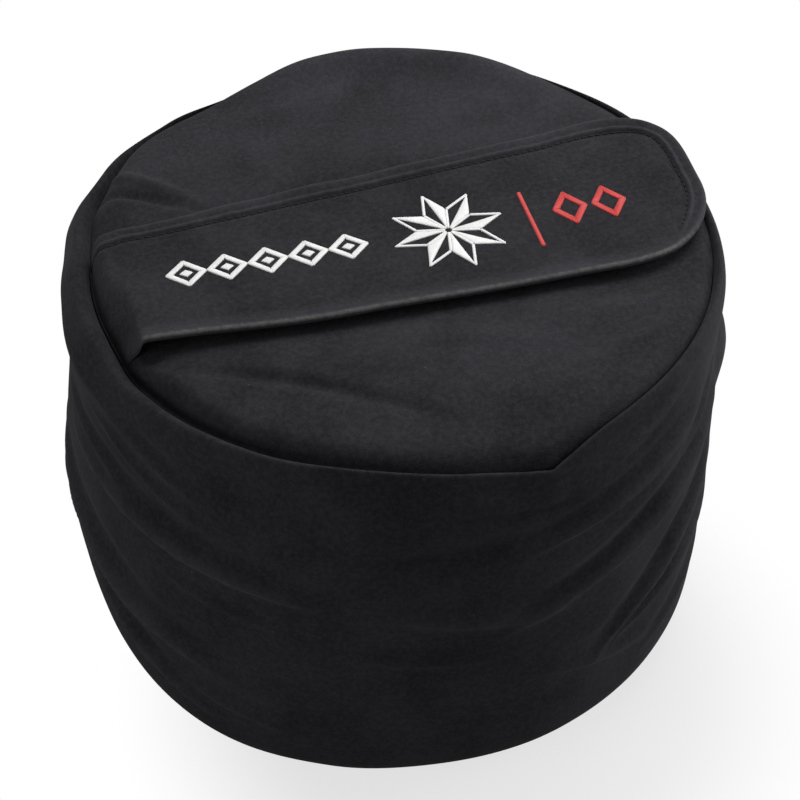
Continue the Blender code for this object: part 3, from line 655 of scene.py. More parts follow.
def sand_mesh():
    """The sand: the same form a little smaller, closed at both poles."""
    radii, heights = filled_rows(SAND_CLEAR, FILL_HEIGHT - 1.8 * MM, 0, 0)
    radii = radii + ring_ripple(radii, heights, 9 * MM, 22) * 0.3 * MM * (radii > 60 * MM)
    radii = np.concatenate([0 * radii[:1], radii, 0 * radii[:1]])
    return welded(ring_mesh(radii, np.concatenate([heights[:1], heights, heights[-1:]])))


def liner_base_mesh():
    """The sack's round base: the same rings as the canvas base, on top of it."""
    radius = np.linspace(0, BASE_RADIUS - 1 * MM, BASE_RINGS)[:, None]
    return welded(ring_mesh(radius, FLOOR_OF_LINER))


def sleeve_mesh():
    """The sleeve as rings along a bent line: a gathered collar, a tied waist, a flat fan.

    Each ring is an ellipse across the line, whose edge is waved by a cosine for the pleats.
    The stops hold how far along, how high, the lean, both half widths and the pleats' depth.
    """
    reach = spout_high[1] / MM
    stops = [(0, 0, 0, 30, 30, 0), (0, 0, 0, 30, 30, 0), (0, 1.2, 0, 25, 25, 0.03),
             (0, 4, 0, 13, 13, 0.09), (1, 6, 30, 6, 6, 0.12), (7, 6.6, 80, 5, 2.4, 0.12)]
    stops += [(share * reach, 6.2, 90, *rest) for share, *rest in
              ((0.3, 4.4, 2.2, 0.1), (0.47, 2.9, 2.2, 0.12), (0.53, 2.9, 2.2, 0.12),
               (0.7, 8, 2, 0.05), (0.85, 12, 1.5, 0.02), (1, 14, 1.1, 0), (1, 14, 1.1, 0))]
    rows = bowed(np.array(stops)[:, None], [6] * (len(stops) - 3))[:, 0]
    along, up, lean, wide, deep, pleat = [column[:, None] for column in rows.T]
    turn = np.linspace(0, 2 * math.pi, SLEEVE_STEPS, endpoint=False)
    edge = (1 + pleat * np.cos(turn * SLEEVE_PLEATS)) * MM
    across = deep * edge * np.sin(turn)
    lean = np.radians(lean)
    points = joined(wide * edge * np.cos(turn), along * MM + across * np.cos(lean),
                    spout_low[2] + up * MM - across * np.sin(lean))
    uv = joined(np.linspace(0, 120, SLEEVE_STEPS + 1) * MM, np.linspace(0, 100, len(rows))[:, None] * MM)
    return sheet_mesh(points, uv, wrap=True)


def tie_mesh():
    """A cord round the sleeve's waist: a ring of small section with two twisted strands."""
    low, high = np.array(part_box("spout_tie"))
    middle, half = (low + high) / 2, (high - low) / 2 - CORD_RADIUS
    ring = np.linspace(0, 2 * math.pi, CORD_STEPS, endpoint=False)
    turn = np.linspace(0, 2 * math.pi, 12, endpoint=False)[:, None]
    thick = CORD_RADIUS * (1 + 0.22 * np.cos(2 * turn - ring * 12))
    out = thick * np.cos(turn)
    points = joined(middle[0] + (half[0] + out) * np.cos(ring), middle[1] + thick * np.sin(turn),
                    middle[2] + (half[2] + out) * np.sin(ring))
    uv = joined(np.linspace(0, 30, CORD_STEPS + 1) * MM, np.linspace(0, 3, 13)[:, None] * MM)
    return welded(sheet_mesh(np.concatenate([points, points[:1]]), uv, wrap=True, flip=True))


liner_cloth = liner_finish()
liner = new_piece("liner_cloth", liner_mesh(), liner_cloth, "liner_body")
liner_base = new_piece("liner_base_cloth", liner_base_mesh(), liner_cloth, "liner_base")
new_piece("sand_heap", sand_mesh(), sand_finish(), "sand_fill")
sleeve = new_piece("liner_sleeve", sleeve_mesh(), liner_cloth, "liner_spout", thickness=SLEEVE_CLOTH)
new_piece("sleeve_cord", tie_mesh(), thread, "spout_tie")

# Top panels: two halves of canvas with the zip between them, pulled down into the seam.
# The sand lifts them in a soft crown, and spare cloth lies in a few long creases.

LEVEL_SHARE = 0.8
CROWN = 2.2 * MM
BACK_SWELL = 9 * MM
GUTTER_LIP = 1.1 * MM
FLAP_ROOM = 38 * MM
FLAP_FADE = 30 * MM
LEFT_DENT = 3.5 * MM
ZIP_Y = -8 * MM
SLOT_WIDTH = 13 * MM
SHUT_GAP = 0.15 * MM
PANEL_COLUMNS = 210
PANEL_ROWS = 64

PANEL_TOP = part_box("top_panel_front")[1][2]
zip_low, zip_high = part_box("zip_tape_front")
ZIP_LENGTH = zip_high[0] - zip_low[0]


def crease_on_top(x, y, start, end, bow, depth, width):
    """A long soft ridge over the top: a bell across the bowed line from start to end, in mm.

    One of its sides is steeper than the other.
    """
    start, end = np.array(start) * MM, np.array(end) * MM
    length = np.linalg.norm(end - start)
    way = (end - start) / length
    along = ((x - start[0]) * way[0] + (y - start[1]) * way[1]) / length
    across = ((y - start[1]) * way[0] - (x - start[0]) * way[1]) / MM - 4 * bow * along * (1 - along)
    across = np.where(across * depth < 0, across * 1.6, across)
    return depth * MM * np.sin(math.pi * np.clip(along, 0, 1)) ** 1.3 * bell(across, width)


TOP_CREASES = (
    ((-134, -50), (4, -124), 10, -3.0, 4.4),
    ((-120, -50), (-52, -56), 2, 1.2, 4.0),
    ((-44, -58), (64, -92), 4, 1.3, 8.0),
    ((-132, 95), (-62, 32), 0, 2.4, 3.4),
    ((-136, 78), (-66, 34), 0, -3.2, 3.2),
    ((-62, 94), (14, 114), 0, 1.2, 8.0),
    ((20, 64), (88, 92), 0, 1.2, 8.0),
    ((40, -72), (114, -66), 0, 1.3, 8.0),
    ((60, -100), (112, -78), 0, 1.1, 5.0),
)


def top_height(x, y):
    """Height of the top's face: level under the flap, crowned, then down into the seam.

    It falls by a power of the share of the way out from the level part, or, where it is
    gentle, by the fourth power of a longer one. It swells at the back, and at the front left
    a gutter runs along the seam, with a lip inside it and a dent beside the flap's root. The
    crown, the creases and the unevenness fade beside the zip and at the seam.
    """
    degrees = np.degrees(np.arctan2(y, x))
    share = np.hypot(x, y) / seam_distance(degrees)
    gutter = around(degrees, (-166, 0), (-152, 1), (-116, 1), (-92, 0.2), (-50, 0)) / MM
    steep = around(degrees, (-164, 2.2), (-156, 14), (-30, 14), (8, 6), (35, 2.4), (118, 2.4),
                   (138, 6), (165, 2.2)) / MM
    gentle = around(degrees, (-166, 0), (-150, 0.25), (-130, 0.5), (-104, 0.55), (-84, 0.6),
                    (-70, 0.6), (-40, 0.5), (-5, 0.3), (20, 0)) / MM
    behind = around(degrees, (30, 0), (60, 1), (92, 1), (118, 0)) / MM
    out = np.clip((share - LEVEL_SHARE) / (1 - LEVEL_SHARE) * (1 + 0.09 * gutter), 0, 1)
    slope = np.clip((share - 0.35) / 0.65, 0, 1) ** 4
    fall = seam_height(degrees) - 1.5 * MM - PANEL_TOP
    inner = np.clip((0.985 - share) / 0.04, 0, 1)
    level = PANEL_TOP + fall * (gentle * slope + (1 - gentle) * out**steep)
    level = level + behind * BACK_SWELL * bell(share - 0.92, 0.09) * (share < 1)
    level = level + gutter * GUTTER_LIP * bell(share - 0.945, 0.08) * inner
    level = level - LEFT_DENT * bell(np.hypot(x + 117 * MM, y + 47 * MM), 9 * MM) * inner
    free = eased(np.clip((np.abs(y - ZIP_Y) - FLAP_ROOM) / FLAP_FADE, 0, 1))
    free = free * np.clip((1 - share) / 0.025, 0, 1)
    crown = CROWN * (1 - out**6) * (1 - 0.4 * gutter)
    crown = crown + sum(crease_on_top(x, y, *each) for each in TOP_CREASES)
    crown = crown + ripple(x, y, 0, 16 * MM, 11) * 0.5 * MM + ripple(x, y, 0, 5 * MM, 12) * 0.07 * MM
    return level + crown * free


def panel_mesh(side):
    """Half of the top: straight along the zip's edge, round along the seam.

    Every column runs from its place on the zip edge to its place on the seam, closer set
    towards the seam, and then down by the seam allowance.
    """
    reach = math.sqrt(SEAM_RADIUS**2 - ZIP_Y**2)
    right, left = (math.atan2(ZIP_Y, SEAM_SHIFT + reach * way) for way in (1, -1))
    degrees = np.degrees(np.linspace(right, left + 2 * math.pi * (side > 0), PANEL_COLUMNS))
    along = np.cos(np.linspace(0, math.pi, PANEL_COLUMNS)) * 0.3 + np.linspace(1, -1, PANEL_COLUMNS) * 0.7
    half = np.where(np.abs(reach * along) <= ZIP_LENGTH / 2, SLOT_WIDTH / 2, SHUT_GAP)
    edge = joined(SEAM_SHIFT + reach * along, ZIP_Y + side * half)
    rim = ring_points(seam_distance(degrees) - 0.2 * MM, 0, np.radians(degrees))[..., :2]
    share = np.linspace(0, 1, PANEL_ROWS)[:, None, None]
    flat = edge + (rim - edge) * (1 - (1 - share) ** 1.25)
    z = top_height(flat[..., 0], flat[..., 1])
    z = np.concatenate([z, z[-1:] - np.linspace(0, SEAM_ALLOWANCE, 5)[1:, None]])
    flat = np.concatenate([flat, np.repeat(flat[-1:], 4, axis=0)])
    # The higher the face stands over the level, the paler the raised trait paints it: dust and painted
    # highlight on the crown, the creases and the swell at the back.
    raised = 0.5 * np.clip((z - PANEL_TOP) / (4 * MM), 0, 1)
    return sheet_mesh(joined(flat[..., 0], flat[..., 1], z), flip=side > 0, raised=raised)


for half_name, half_side in (("front", -1), ("rear", 1)):
    panel = new_piece("top_canvas_" + half_name, panel_mesh(half_side), canvas,
                      "top_panel_" + half_name, thickness=CANVAS)

# Top seam binding: twill tape folded up round the turned-in edges of wall and top, inside.
# One row of stitches through all the layers holds it, and it shows nowhere from outside.

TOP_BINDING_HALF = 1.7 * MM


def top_binding_mesh():
    """A narrow gutter turned round the axis: half a circle under the seam allowances."""
    turn = np.linspace(0, math.pi, 9)[:, None]
    leg = np.array([3.6, 1.8])[:, None] * MM
    radii = seam_distance(DEGREES) - 0.8 * MM + TOP_BINDING_HALF * np.cos(turn)
    heights = seam_height(DEGREES) - 1.8 * MM - SEAM_ALLOWANCE - 0.8 * MM * np.sin(turn)
    radii = np.concatenate([radii[:1], radii[:1], radii, radii[-1:], radii[-1:]])
    heights = np.concatenate([heights[:1] + leg, heights, heights[-1:] + leg[::-1]])
    return ring_mesh(radii, heights, flip=True)


top_binding = new_piece("top_binding_tape", top_binding_mesh(), twill, "top_seam_binding")

# Zip: moulded teeth on two twill tapes under the edges of the top panels, a stop at each
# end, canvas tabs over the ends of the tapes, and a metal slider with its pull.

NYLON_BLACK = (0.008, 0.008, 0.009)
NYLON_SCUFFED = (0.04, 0.04, 0.04)
GUNMETAL = (0.19, 0.19, 0.20)
BARE_METAL = (0.42, 0.41, 0.40)
STITCH_LENGTH = 2.7 * MM
STITCH_GAP = 0.7 * MM
STITCH_RADIUS = 0.3 * MM
STRIP_CELL = 1.5 * MM
ZIP_TAPE_CLOTH = 0.5 * MM
TEETH_COUNT = 47
TOOTH_REACH = 5.2 * MM
TAB_CLOTH = 0.6 * MM
TAB_GRID = (16, 20)
METAL_EDGE = 0.16 * MM


def nylon_finish():
    """Moulded nylon: a fine matt grain and slight scuffs."""
    finish, solid, shader = new_finish("black_nylon", roughness=0.42, specular=0.5)
    scuffs = noise(solid, 190, 5)
    tone = scuffs.between(0.5, 0.8).blend(NYLON_BLACK, NYLON_SCUFFED)
    relief = bump(noise(solid, 1500, 2), 0.25, 0.05 * MM)
    feed(shader, Base_Color=tone, Roughness=0.35 + scuffs * 0.25, Normal=relief)
    return finish


def metal_finish():
    """Dark plated metal: fine scratches, and brighter where the plating is rubbed through."""
    finish, solid, shader = new_finish("dark_plated_metal", roughness=0.3, metallic=1.0, specular=0.5)
    scratches = noise(stretched(solid, (300, 2600, 900)), 1, 4)
    tone = noise(solid, 240, 4).between(0.45, 0.75).blend(GUNMETAL, BARE_METAL)
    relief = bump(scratches, 0.15, 0.05 * MM)
    feed(shader, Base_Color=tone, Roughness=0.22 + scratches * 0.3, Normal=relief)
    return finish


def many(rings, frames):
    """Copies of a small closed form, whose rings[row, step] run along it, in one mesh.

    Each frame is three columns of directions and one of place; both ends are capped.
    """
    rows, steps = rings.shape[:2]
    index = np.arange(rows * steps).reshape(rows, steps)
    after = np.roll(index, -1, axis=1)
    quads = np.stack([index[:-1], after[:-1], after[1:], index[1:]], axis=-1).reshape(-1, 4)
    placed = np.einsum("kij,pj->kpi", frames[:, :, :3], rings.reshape(-1, 3)) + frames[:, None, :, 3]
    starts = np.arange(len(frames))[:, None, None] * rows * steps
    faces = (quads[None] + starts).reshape(-1, 4).tolist()
    for cap in (index[0][::-1], index[-1]):
        faces += (cap[None] + starts[:, 0]).tolist()
    mesh = bpy.data.meshes.new("many")
    mesh.from_pydata(placed.reshape(-1, 3).tolist(), [], faces)
    mesh.shade_smooth()
    return mesh


def upright(places):
    """Frames at these places that keep the form's own directions."""
    places = np.array(places)
    return np.concatenate([np.tile(np.eye(3), (len(places), 1, 1)), places[..., None]], axis=-1)


def capsule(length, radius, steps=6):
    """Rings of a rod along X with rounded ends."""
    along = np.array([-1, -0.88, -0.5, 0.5, 0.88, 1])[:, None] * length / 2
    thick = np.array([0.35, 0.85, 1, 1, 0.85, 0.35])[:, None] * radius
    turn = np.linspace(0, 2 * math.pi, steps, endpoint=False)
    return joined(along, thick * np.cos(turn), thick * np.sin(turn))


def lengths(path):
    """The distance along a path to each of its points."""
    return np.concatenate([[0], np.cumsum(np.linalg.norm(np.diff(path, axis=0), axis=-1))])


def on_path(path, at):
    """Points at these distances along a path, straight between its points."""
    return joined(*[np.interp(at, lengths(path), column) for column in path.T])


def stitched(path):
    """A line of stitches along a path: rods at even spacing that follow it."""
    at = np.arange(STITCH_LENGTH / 2, lengths(path)[-1], STITCH_LENGTH + STITCH_GAP)
    ways = on_path(path, at + 0.3 * MM) - on_path(path, at - 0.3 * MM)
    ways = ways / np.linalg.norm(ways, axis=-1, keepdims=True)
    sides = np.cross((0.0, 0.0, 1.0), ways)
    sides = sides / np.linalg.norm(sides, axis=-1, keepdims=True)
    frames = np.stack([ways, sides, np.cross(ways, sides), on_path(path, at)], axis=-1)
    return many(capsule(STITCH_LENGTH, STITCH_RADIUS), frames)


def sewn(name, path, slot, body="bag"):
    """The stitches that hold a piece down: a piece of their own with no CAD node to stand for."""
    return new_piece(name + "_stitches", stitched(path), thread, slot, body=body, stands_for=())


def strip_grid(low, high, columns, rows):
    """x and y over a strip between two corners, and each point's distance from its edge."""
    x, y = np.meshgrid(np.linspace(low[0], high[0], columns), np.linspace(low[1], high[1], rows))
    return x, y, np.minimum.reduce([x - low[0], high[0] - x, y - low[1], high[1] - y])


def strip_mesh(low, high):
    """The level upper face of a strip between two corners."""
    counts = [max(4, round((high[axis] - low[axis]) / STRIP_CELL)) for axis in (0, 1)]
    x, y, _ = strip_grid(low, high, *counts)
    return sheet_mesh(joined(x, y, high[2]))


def box_path(low, high, inset, count=60):
    """Points round a strip, inset from its edges, with count of them on each side."""
    a, b = np.array(low[:2]) + inset, np.array(high[:2]) - inset
    corners = np.array([a, (b[0], a[1]), b, (a[0], b[1]), a])
    return np.concatenate([np.linspace(p, q, count) for p, q in zip(corners, corners[1:])])


def tooth_rings(side, high):
    """One tooth from its root in the tape's cord to its head: rounded boxes of x and z."""
    across = np.array([5.2, 4.6, 3.6, 3.0, 2.4, 1.7, 1.1, 0.85])[:, None] * MM
    wide = np.array([1.0, 1.3, 1.35, 1.1, 0.95, 1.2, 1.15, 0.7])[:, None] * MM
    deep = np.array([0.5, 0.85, 1.0, 1.0, 0.9, 1.0, 0.9, 0.5])[:, None] * high
    turn = np.linspace(0, 2 * math.pi, 12, endpoint=False)
    box_x, box_z = [np.sign(wave) * np.abs(wave) ** 0.6 for wave in (np.cos(turn), np.sin(turn))]
    return joined(wide * box_x * side, side * across, deep * box_z)


def teeth_mesh(name, side):
    """A row of teeth, side by side at the CAD row's pitch."""
    low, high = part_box(name)
    pitch = (high[0] - low[0]) / TEETH_COUNT
    reach = max(abs(low[1] - ZIP_Y), abs(high[1] - ZIP_Y)) / TOOTH_REACH
    rings = tooth_rings(side, (high[2] - low[2]) / 2) * np.array([1, reach, 1])
    x = low[0] + pitch * (np.arange(TEETH_COUNT) + 0.5)
    return many(rings, upright(joined(x, ZIP_Y, (low[2] + high[2]) / 2)))


def stop_mesh(name):
    """A stop: a rod along y whose rounding is squared up to fill the CAD node's box."""
    low, high = np.array(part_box(name))
    rings = capsule(2, 1, 16)[..., [2, 0, 1]]
    rings = np.sign(rings) * np.abs(rings) ** 0.6 * (high - low) / 2
    return many(rings, upright([(low + high) / 2]))


def tab_mesh(low, high):
    """A tab's face: the top's own height and a swell that rounds its edges by a root."""
    x, y, edge = strip_grid(low, high, *TAB_GRID)
    swell = 0.35 * MM * np.clip(edge / (1.2 * MM), 0, 1) ** 0.5
    return sheet_mesh(joined(x, y, top_height(x, y) + 0.5 * MM + swell))


def worked_metal(name, body):
    """The slider or its pull with its sharp edges rounded, as on cast and plated parts."""
    mesh = welded(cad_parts[name].data.copy())
    mesh.materials.clear()
    rounded = new_piece(name + "_cast", mesh, metal, name, body=body).modifiers.new("Edges", "BEVEL")
    rounded.width = METAL_EDGE
    rounded.segments = 3
    rounded.angle_limit = math.radians(35)


nylon = nylon_finish()
metal = metal_finish()
for half_name, half_side in (("front", -1), ("rear", 1)):
    tape_name, teeth_name = "zip_tape_" + half_name, "zip_teeth_" + half_name
    tape = new_piece(tape_name + "_twill", strip_mesh(*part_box(tape_name)), twill, tape_name,
                     thickness=ZIP_TAPE_CLOTH)
    new_piece(teeth_name + "_moulded", teeth_mesh(teeth_name, half_side), nylon, teeth_name)

for end_name in ("closed", "open"):
    stop_name = "zip_stop_" + end_name
    new_piece(stop_name + "_moulded", stop_mesh(stop_name), nylon, stop_name)

for end_name in ("left", "right"):
    tab_name = "zip_end_tab_" + end_name
    tab_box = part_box(tab_name)
    tab = new_piece(tab_name + "_canvas", tab_mesh(*tab_box), canvas, tab_name, thickness=TAB_CLOTH)
    path = box_path(*tab_box, 2 * MM, 20)
    path = joined(*path.T, top_height(*path.T) + 0.95 * MM)
    sewn(tab_name, path, tab_name)

worked_metal("zip_slider", "slider")
worked_metal("zip_pull_tab", "pull")

# Loop strips: the soft half of the closure, a low pile of nylon loops on the top panels,
# sewn down all round on either side of the zip.

LOOP_GREY = (0.026, 0.026, 0.028)
PILE_CLOTH = 0.9 * MM
PILE_SEWING = 2.2 * MM
PILE_GRID = (240, 34)


def pile_finish():
    """A felted pile: small tangled loops, darker between them."""
    finish, solid, shader = new_finish("black_loop_pile", roughness=0.9, sheen=0.25, specular=0.2)
    tangle = noise(solid, 900, 6, Distortion=2.0)
    tone = tangle.between(0.35, 0.7) * 0.7 + noise(solid, 110, 3) * 0.2
    feed(shader, Base_Color=tone.blend(NYLON_BLACK, LOOP_GREY), Normal=bump(tangle, 1.0, 0.4 * MM))
    return finish


def pile_mesh(low, high):
    """The strip's face: level, rounded at its edges, sunk along the stitches, and tufted."""
    x, y, edge = strip_grid(low, high, *PILE_GRID)
    sink = 0.7 * MM * (1 - np.clip(edge / (1.4 * MM), 0, 1)) ** 2
    sink = sink + 0.5 * MM * bell(edge - PILE_SEWING, 0.5 * MM)
    z = high[2] - 0.1 * MM - sink + ripple(x, y, 0, 1.2 * MM, 41) * 0.08 * MM
    return sheet_mesh(joined(x, y, z))


pile = pile_finish()
for half_name in ("front", "rear"):
    loop_name = "loop_strip_" + half_name
    loop_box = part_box(loop_name)
    loops = new_piece(loop_name + "_pile", pile_mesh(*loop_box), pile, loop_name, thickness=PILE_CLOTH)
    path = box_path(*loop_box, PILE_SEWING)
    path = joined(*path.T, loop_box[1][2] - 0.45 * MM)
    sewn(loop_name, path, loop_name)

# Flap: canvas sewn into the top seam at the left, bent over a ridge and laid across the zip
# with its rounded tip over the right rim. Its hem is stitched all round, and along the front
# it has rolled under. A second ply lines it, and the hooks are sewn to that.

HEM_ROLL = 1.8 * MM
HEM_EDGE = 1.3 * MM
HEM_WIDTH = 7 * MM
HEM_LIP = 6 * MM
HEM_STATIONS = 380
OUTLINE_STEPS = 400
FACE_ROWS = 22
LINING_ROWS = 20
HEM_SUNK = 0.6 * MM
ROLL_BAND = 3 * MM
FLAP_CLOTH = 0.8 * MM
LINING_INSET = 4 * MM
TIP_LENGTH = 52 * MM
TIP_POWER = 2.0
TIP_POWER_BEHIND = 3.8
FAR_INSET = 4.5 * MM
ROOT_LENGTH = 14 * MM
ROOT_SHIFT = 8 * MM
ROOT_TUCK = 5 * MM
ROOT_TAPER = 4.5 * MM
ROOT_SLANT = 7 * MM
RIDGE_RISE = 0.8 * MM
FAR_CURL = 1.8 * MM
TIP_CURL = 2.6 * MM
NEAR_CURL = 1.5 * MM

(FOLD_X, NEAR_EDGE, _), (FLAP_TIP, FAR_TIP, FLAP_TOP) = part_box("flap_face")
(_, _, LINING_UNDER), (_, _, LINING_TOP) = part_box("flap_backing")
FAR_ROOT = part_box("flap_root")[1][1]
RIDGE_X = FOLD_X - ROOT_SHIFT
TIP_START = FLAP_TIP - TIP_LENGTH


def smooth_step(value, low, high):
    """Nothing up to low and one from high, eased between."""
    return eased(np.clip((value - low) / (high - low), 0, 1))


def far_edge(x):
    """The far edge: straight from the root and further back towards the tip, where it flares."""
    slant = (FAR_TIP - FAR_ROOT) * np.clip((x - FOLD_X) / (TIP_START - FOLD_X), -0.15, 1)
    return FAR_ROOT + slant - FAR_INSET * (1 - 0.8 * smooth_step(x, 70 * MM, 110 * MM))


def near_edge(x):
    """The near edge: straight, drawn in towards the root, and slanting back down to the seam."""
    slant = ROOT_SLANT * smooth_step(RIDGE_X - x, 0, ROOT_LENGTH)
    return NEAR_EDGE + ROOT_TAPER * (1 - smooth_step(x, -110 * MM, -30 * MM)) + slant


def flap_boundary():
    """Points round the flat flap from its near root corner to its far one, evenly spaced.

    The tip is a superellipse: both coordinates are powers of the cosine and the sine. With
    the points comes the way inwards at each.
    """
    turn = np.linspace(-math.pi / 2, math.pi / 2, OUTLINE_STEPS)
    bend = 2 / np.where(turn < 0, TIP_POWER, TIP_POWER_BEHIND)
    tip_x = TIP_START + (TIP_LENGTH + 1.5 * MM) * np.abs(np.cos(turn)) ** bend
    middle = (NEAR_EDGE + far_edge(tip_x)) / 2
    tip_y = middle + np.sign(np.sin(turn)) * np.abs(np.sin(turn)) ** bend * (middle - NEAR_EDGE)
    side_x = np.linspace(RIDGE_X - ROOT_LENGTH - ROOT_TUCK, TIP_START, OUTLINE_STEPS)
    path = np.concatenate([joined(side_x, near_edge(side_x))[:-1], joined(tip_x, tip_y),
                           joined(side_x, far_edge(side_x))[-2::-1]])
    path = on_path(path, np.linspace(0, lengths(path)[-1], HEM_STATIONS))
    way = np.gradient(path, axis=0)
    way = way / np.linalg.norm(way, axis=-1, keepdims=True)
    return path, joined(-way[:, 1], way[:, 0])


def flap_surface(x, y):
    """Place of a point of the flat flap: the root is bent down into the seam.

    Up to the ridge the flat x runs on unchanged; behind it the cloth falls to the seam by a
    power of its share of the way, and what is beyond that hangs straight down inside it. The
    far edge, the tip and the near edge curl up, and beside the root lie a dent and a bulge.
    """
    back = np.clip((RIDGE_X - x) / ROOT_LENGTH, 0, 1)
    tuck = np.clip(RIDGE_X - ROOT_LENGTH - x, 0, ROOT_TUCK)
    seam_x = SEAM_SHIFT - np.sqrt(SEAM_RADIUS**2 - y**2) + 1.2 * MM
    seam_z = seam_height(np.degrees(np.arctan2(y, seam_x))) + 0.5 * MM
    steep = 1.3 + 4.2 * smooth_step(y, -25 * MM, 30 * MM)
    height = FLAP_TOP + (seam_z - FLAP_TOP) * back**steep - tuck
    height = height + RIDGE_RISE * bell(x - RIDGE_X - 3 * MM, 7 * MM) * (1 - back)
    uneven = ripple(x, y, 0, 15 * MM, 51) * 0.35 * MM + ripple(x, y, 0, 5 * MM, 52) * 0.06 * MM
    height = height + uneven * smooth_step(x, RIDGE_X - 8 * MM, RIDGE_X + 12 * MM)
    far = smooth_step(y - far_edge(x), -12 * MM, 1 * MM) * smooth_step(x, -120 * MM, -40 * MM)
    height = height + (FAR_CURL + ripple(x, 0, 0, 9 * MM, 53) * 0.7 * MM) * far
    height = height + TIP_CURL * smooth_step(x, 100 * MM, 140 * MM) * smooth_step(y, -5 * MM, 30 * MM)
    near = smooth_step(near_edge(x) - y, -10 * MM, -1 * MM) * (1 - smooth_step(x, 100 * MM, 130 * MM))
    height = height + NEAR_CURL * near * smooth_step(x, RIDGE_X - 4 * MM, RIDGE_X + 2 * MM)
    dent = -1.6 * MM * bell(x + 119 * MM, 5 * MM) * bell(y - 6 * MM, 11 * MM)
    dent = dent + 1.0 * MM * bell(x + 120 * MM, 4 * MM) * bell(y + 14 * MM, 6 * MM)
    placed_x = np.where(x < RIDGE_X, RIDGE_X + (seam_x - RIDGE_X) * back, x)
    return placed_x, height + dent * (1 - tuck / ROOT_TUCK)


def hem_roll(path):
    """How far the hem is rolled under at each station: one along the front, else nothing."""
    front = path[:, 1] < (NEAR_EDGE + FAR_TIP) / 2
    return front * (1 - smooth_step(path[:, 0], 112 * MM, 140 * MM))


def hem_fold(roll):
    """How far the hem's fold lies from its stitches, and the fold's radius.

    The fold is the hem's own edge where the hem lies flat, and close to the stitches where
    it is rolled.
    """
    return HEM_WIDTH + (ROLL_BAND - HEM_WIDTH) * roll, HEM_EDGE + (HEM_ROLL - HEM_EDGE) * roll


def hem_rows(fold, radius):
    """Run of the cloth from the hem's stitches: along it, outwards and downwards.

    It lies flat up to its fold, turns half round there (the sine and one minus the cosine
    of the turn, times the radius) and goes back under.
    """
    lie = np.linspace(0, 1, 15)[:-1, None] * fold
    turn = np.linspace(0, math.pi, 11)[:, None]
    lip = np.linspace(0, 1, 5)[1:, None] * HEM_LIP
    along = np.concatenate([lie, fold + turn * radius, fold + math.pi * radius + lip])
    out = np.concatenate([lie, fold + np.sin(turn) * radius, fold - lip])
    down = np.concatenate([0 * lie, (1 - np.cos(turn)) * radius, 2 * radius + 0 * lip])
    return along, out, down


def flap_grid(inset=0.0):
    """The flap's boundary moved in by inset, the ways inwards, and the spine for each station."""
    path, normal = flap_boundary()
    path = path + normal * inset
    spine_x = np.minimum((path[:, 0] + path[::-1, 0]) / 2, TIP_START)
    return path, normal, joined(spine_x, (NEAR_EDGE + far_edge(spine_x)) / 2)


def flap_mesh():
    """The face: from its spine to the hem's stitches, over the hem, round its edge and under.

    Where the hem lies flat it is pulled down by the stitches, puckered beside them and full at its edge.
    Its raised places are painted paler, as dust and painted highlight, and the rolled edge palest, as
    wear and painted highlight.
    """
    path, normal, spine = flap_grid()
    roll = hem_roll(path)
    flat_hem = 1 - roll
    fold, radius = hem_fold(roll)
    along, out, down = hem_rows(fold, radius)
    base = path + normal * (fold + radius)[:, None]
    inner = spine + (base - spine) * np.linspace(0, 1, FACE_ROWS)[:-1, None, None]
    flat = np.concatenate([inner, base - normal * out[..., None]])
    cut = np.concatenate([inner, base - normal * along[..., None]])
    across = np.concatenate([-np.linalg.norm(inner - base, axis=-1), along])
    beside = flat_hem * bell(across - 1.9 * MM, 0.9 * MM)
    stations = np.arange(HEM_STATIONS)
    pucker = 0.75 * MM + 0.15 * MM * np.sin(stations * 0.9) * np.sin(stations * 0.23)
    x, z = flap_surface(flat[..., 0], flat[..., 1])
    z = z - np.concatenate([np.zeros(inner.shape[:2]), down]) + pucker * beside
    z = z + flat_hem * (0.5 * MM * bell(across - fold, 1.6 * MM) - 1.1 * MM * bell(across, 0.7 * MM))
    # The raised trait paints the band beside the stitches and the hem's edge paler, as dust and painted
    # highlight, and the rolled front edge most, as wear and painted highlight.
    rim = across - fold - HEM_EDGE
    worn_and_highlight = 2 * roll * smooth_step(path[:, 0], RIDGE_X - 4 * MM, RIDGE_X + 1 * MM)
    raised = 0.4 * roll * np.clip((across + 6 * MM * roll) / (6 * MM), 0, 1) + 0.9 * beside
    raised = raised + bell(rim, 2.5 * MM) * (1.2 - 0.9 * roll) + worn_and_highlight * bell(rim, 1.4 * MM)
    return welded(sheet_mesh(joined(x, flat[..., 1], z), cut, flip=True, raised=raised))


def lining_mesh():
    """The second ply: flat under the face, inside the hem, down to the seam at the root."""
    path, _, spine = flap_grid(LINING_INSET)
    flat = spine + (path - spine) * np.linspace(0, 1, LINING_ROWS)[:, None, None]
    x, z = flap_surface(flat[..., 0], flat[..., 1])
    z = np.minimum(z, FLAP_TOP + 0.4 * MM) - (FLAP_TOP - LINING_TOP) - 0.25 * MM
    return welded(sheet_mesh(joined(x, flat[..., 1], z), flip=True, raised=0 * x))


def hem_path():
    """The line of the hem's stitches over the flap, and how far the hem is rolled there."""
    path, normal, _ = flap_grid()
    roll = hem_roll(path)
    line = path + normal * sum(hem_fold(roll))[:, None]
    x, z = flap_surface(line[:, 0], line[:, 1])
    return joined(x, line[:, 1], z - HEM_SUNK)[4:-4], roll[4:-4]


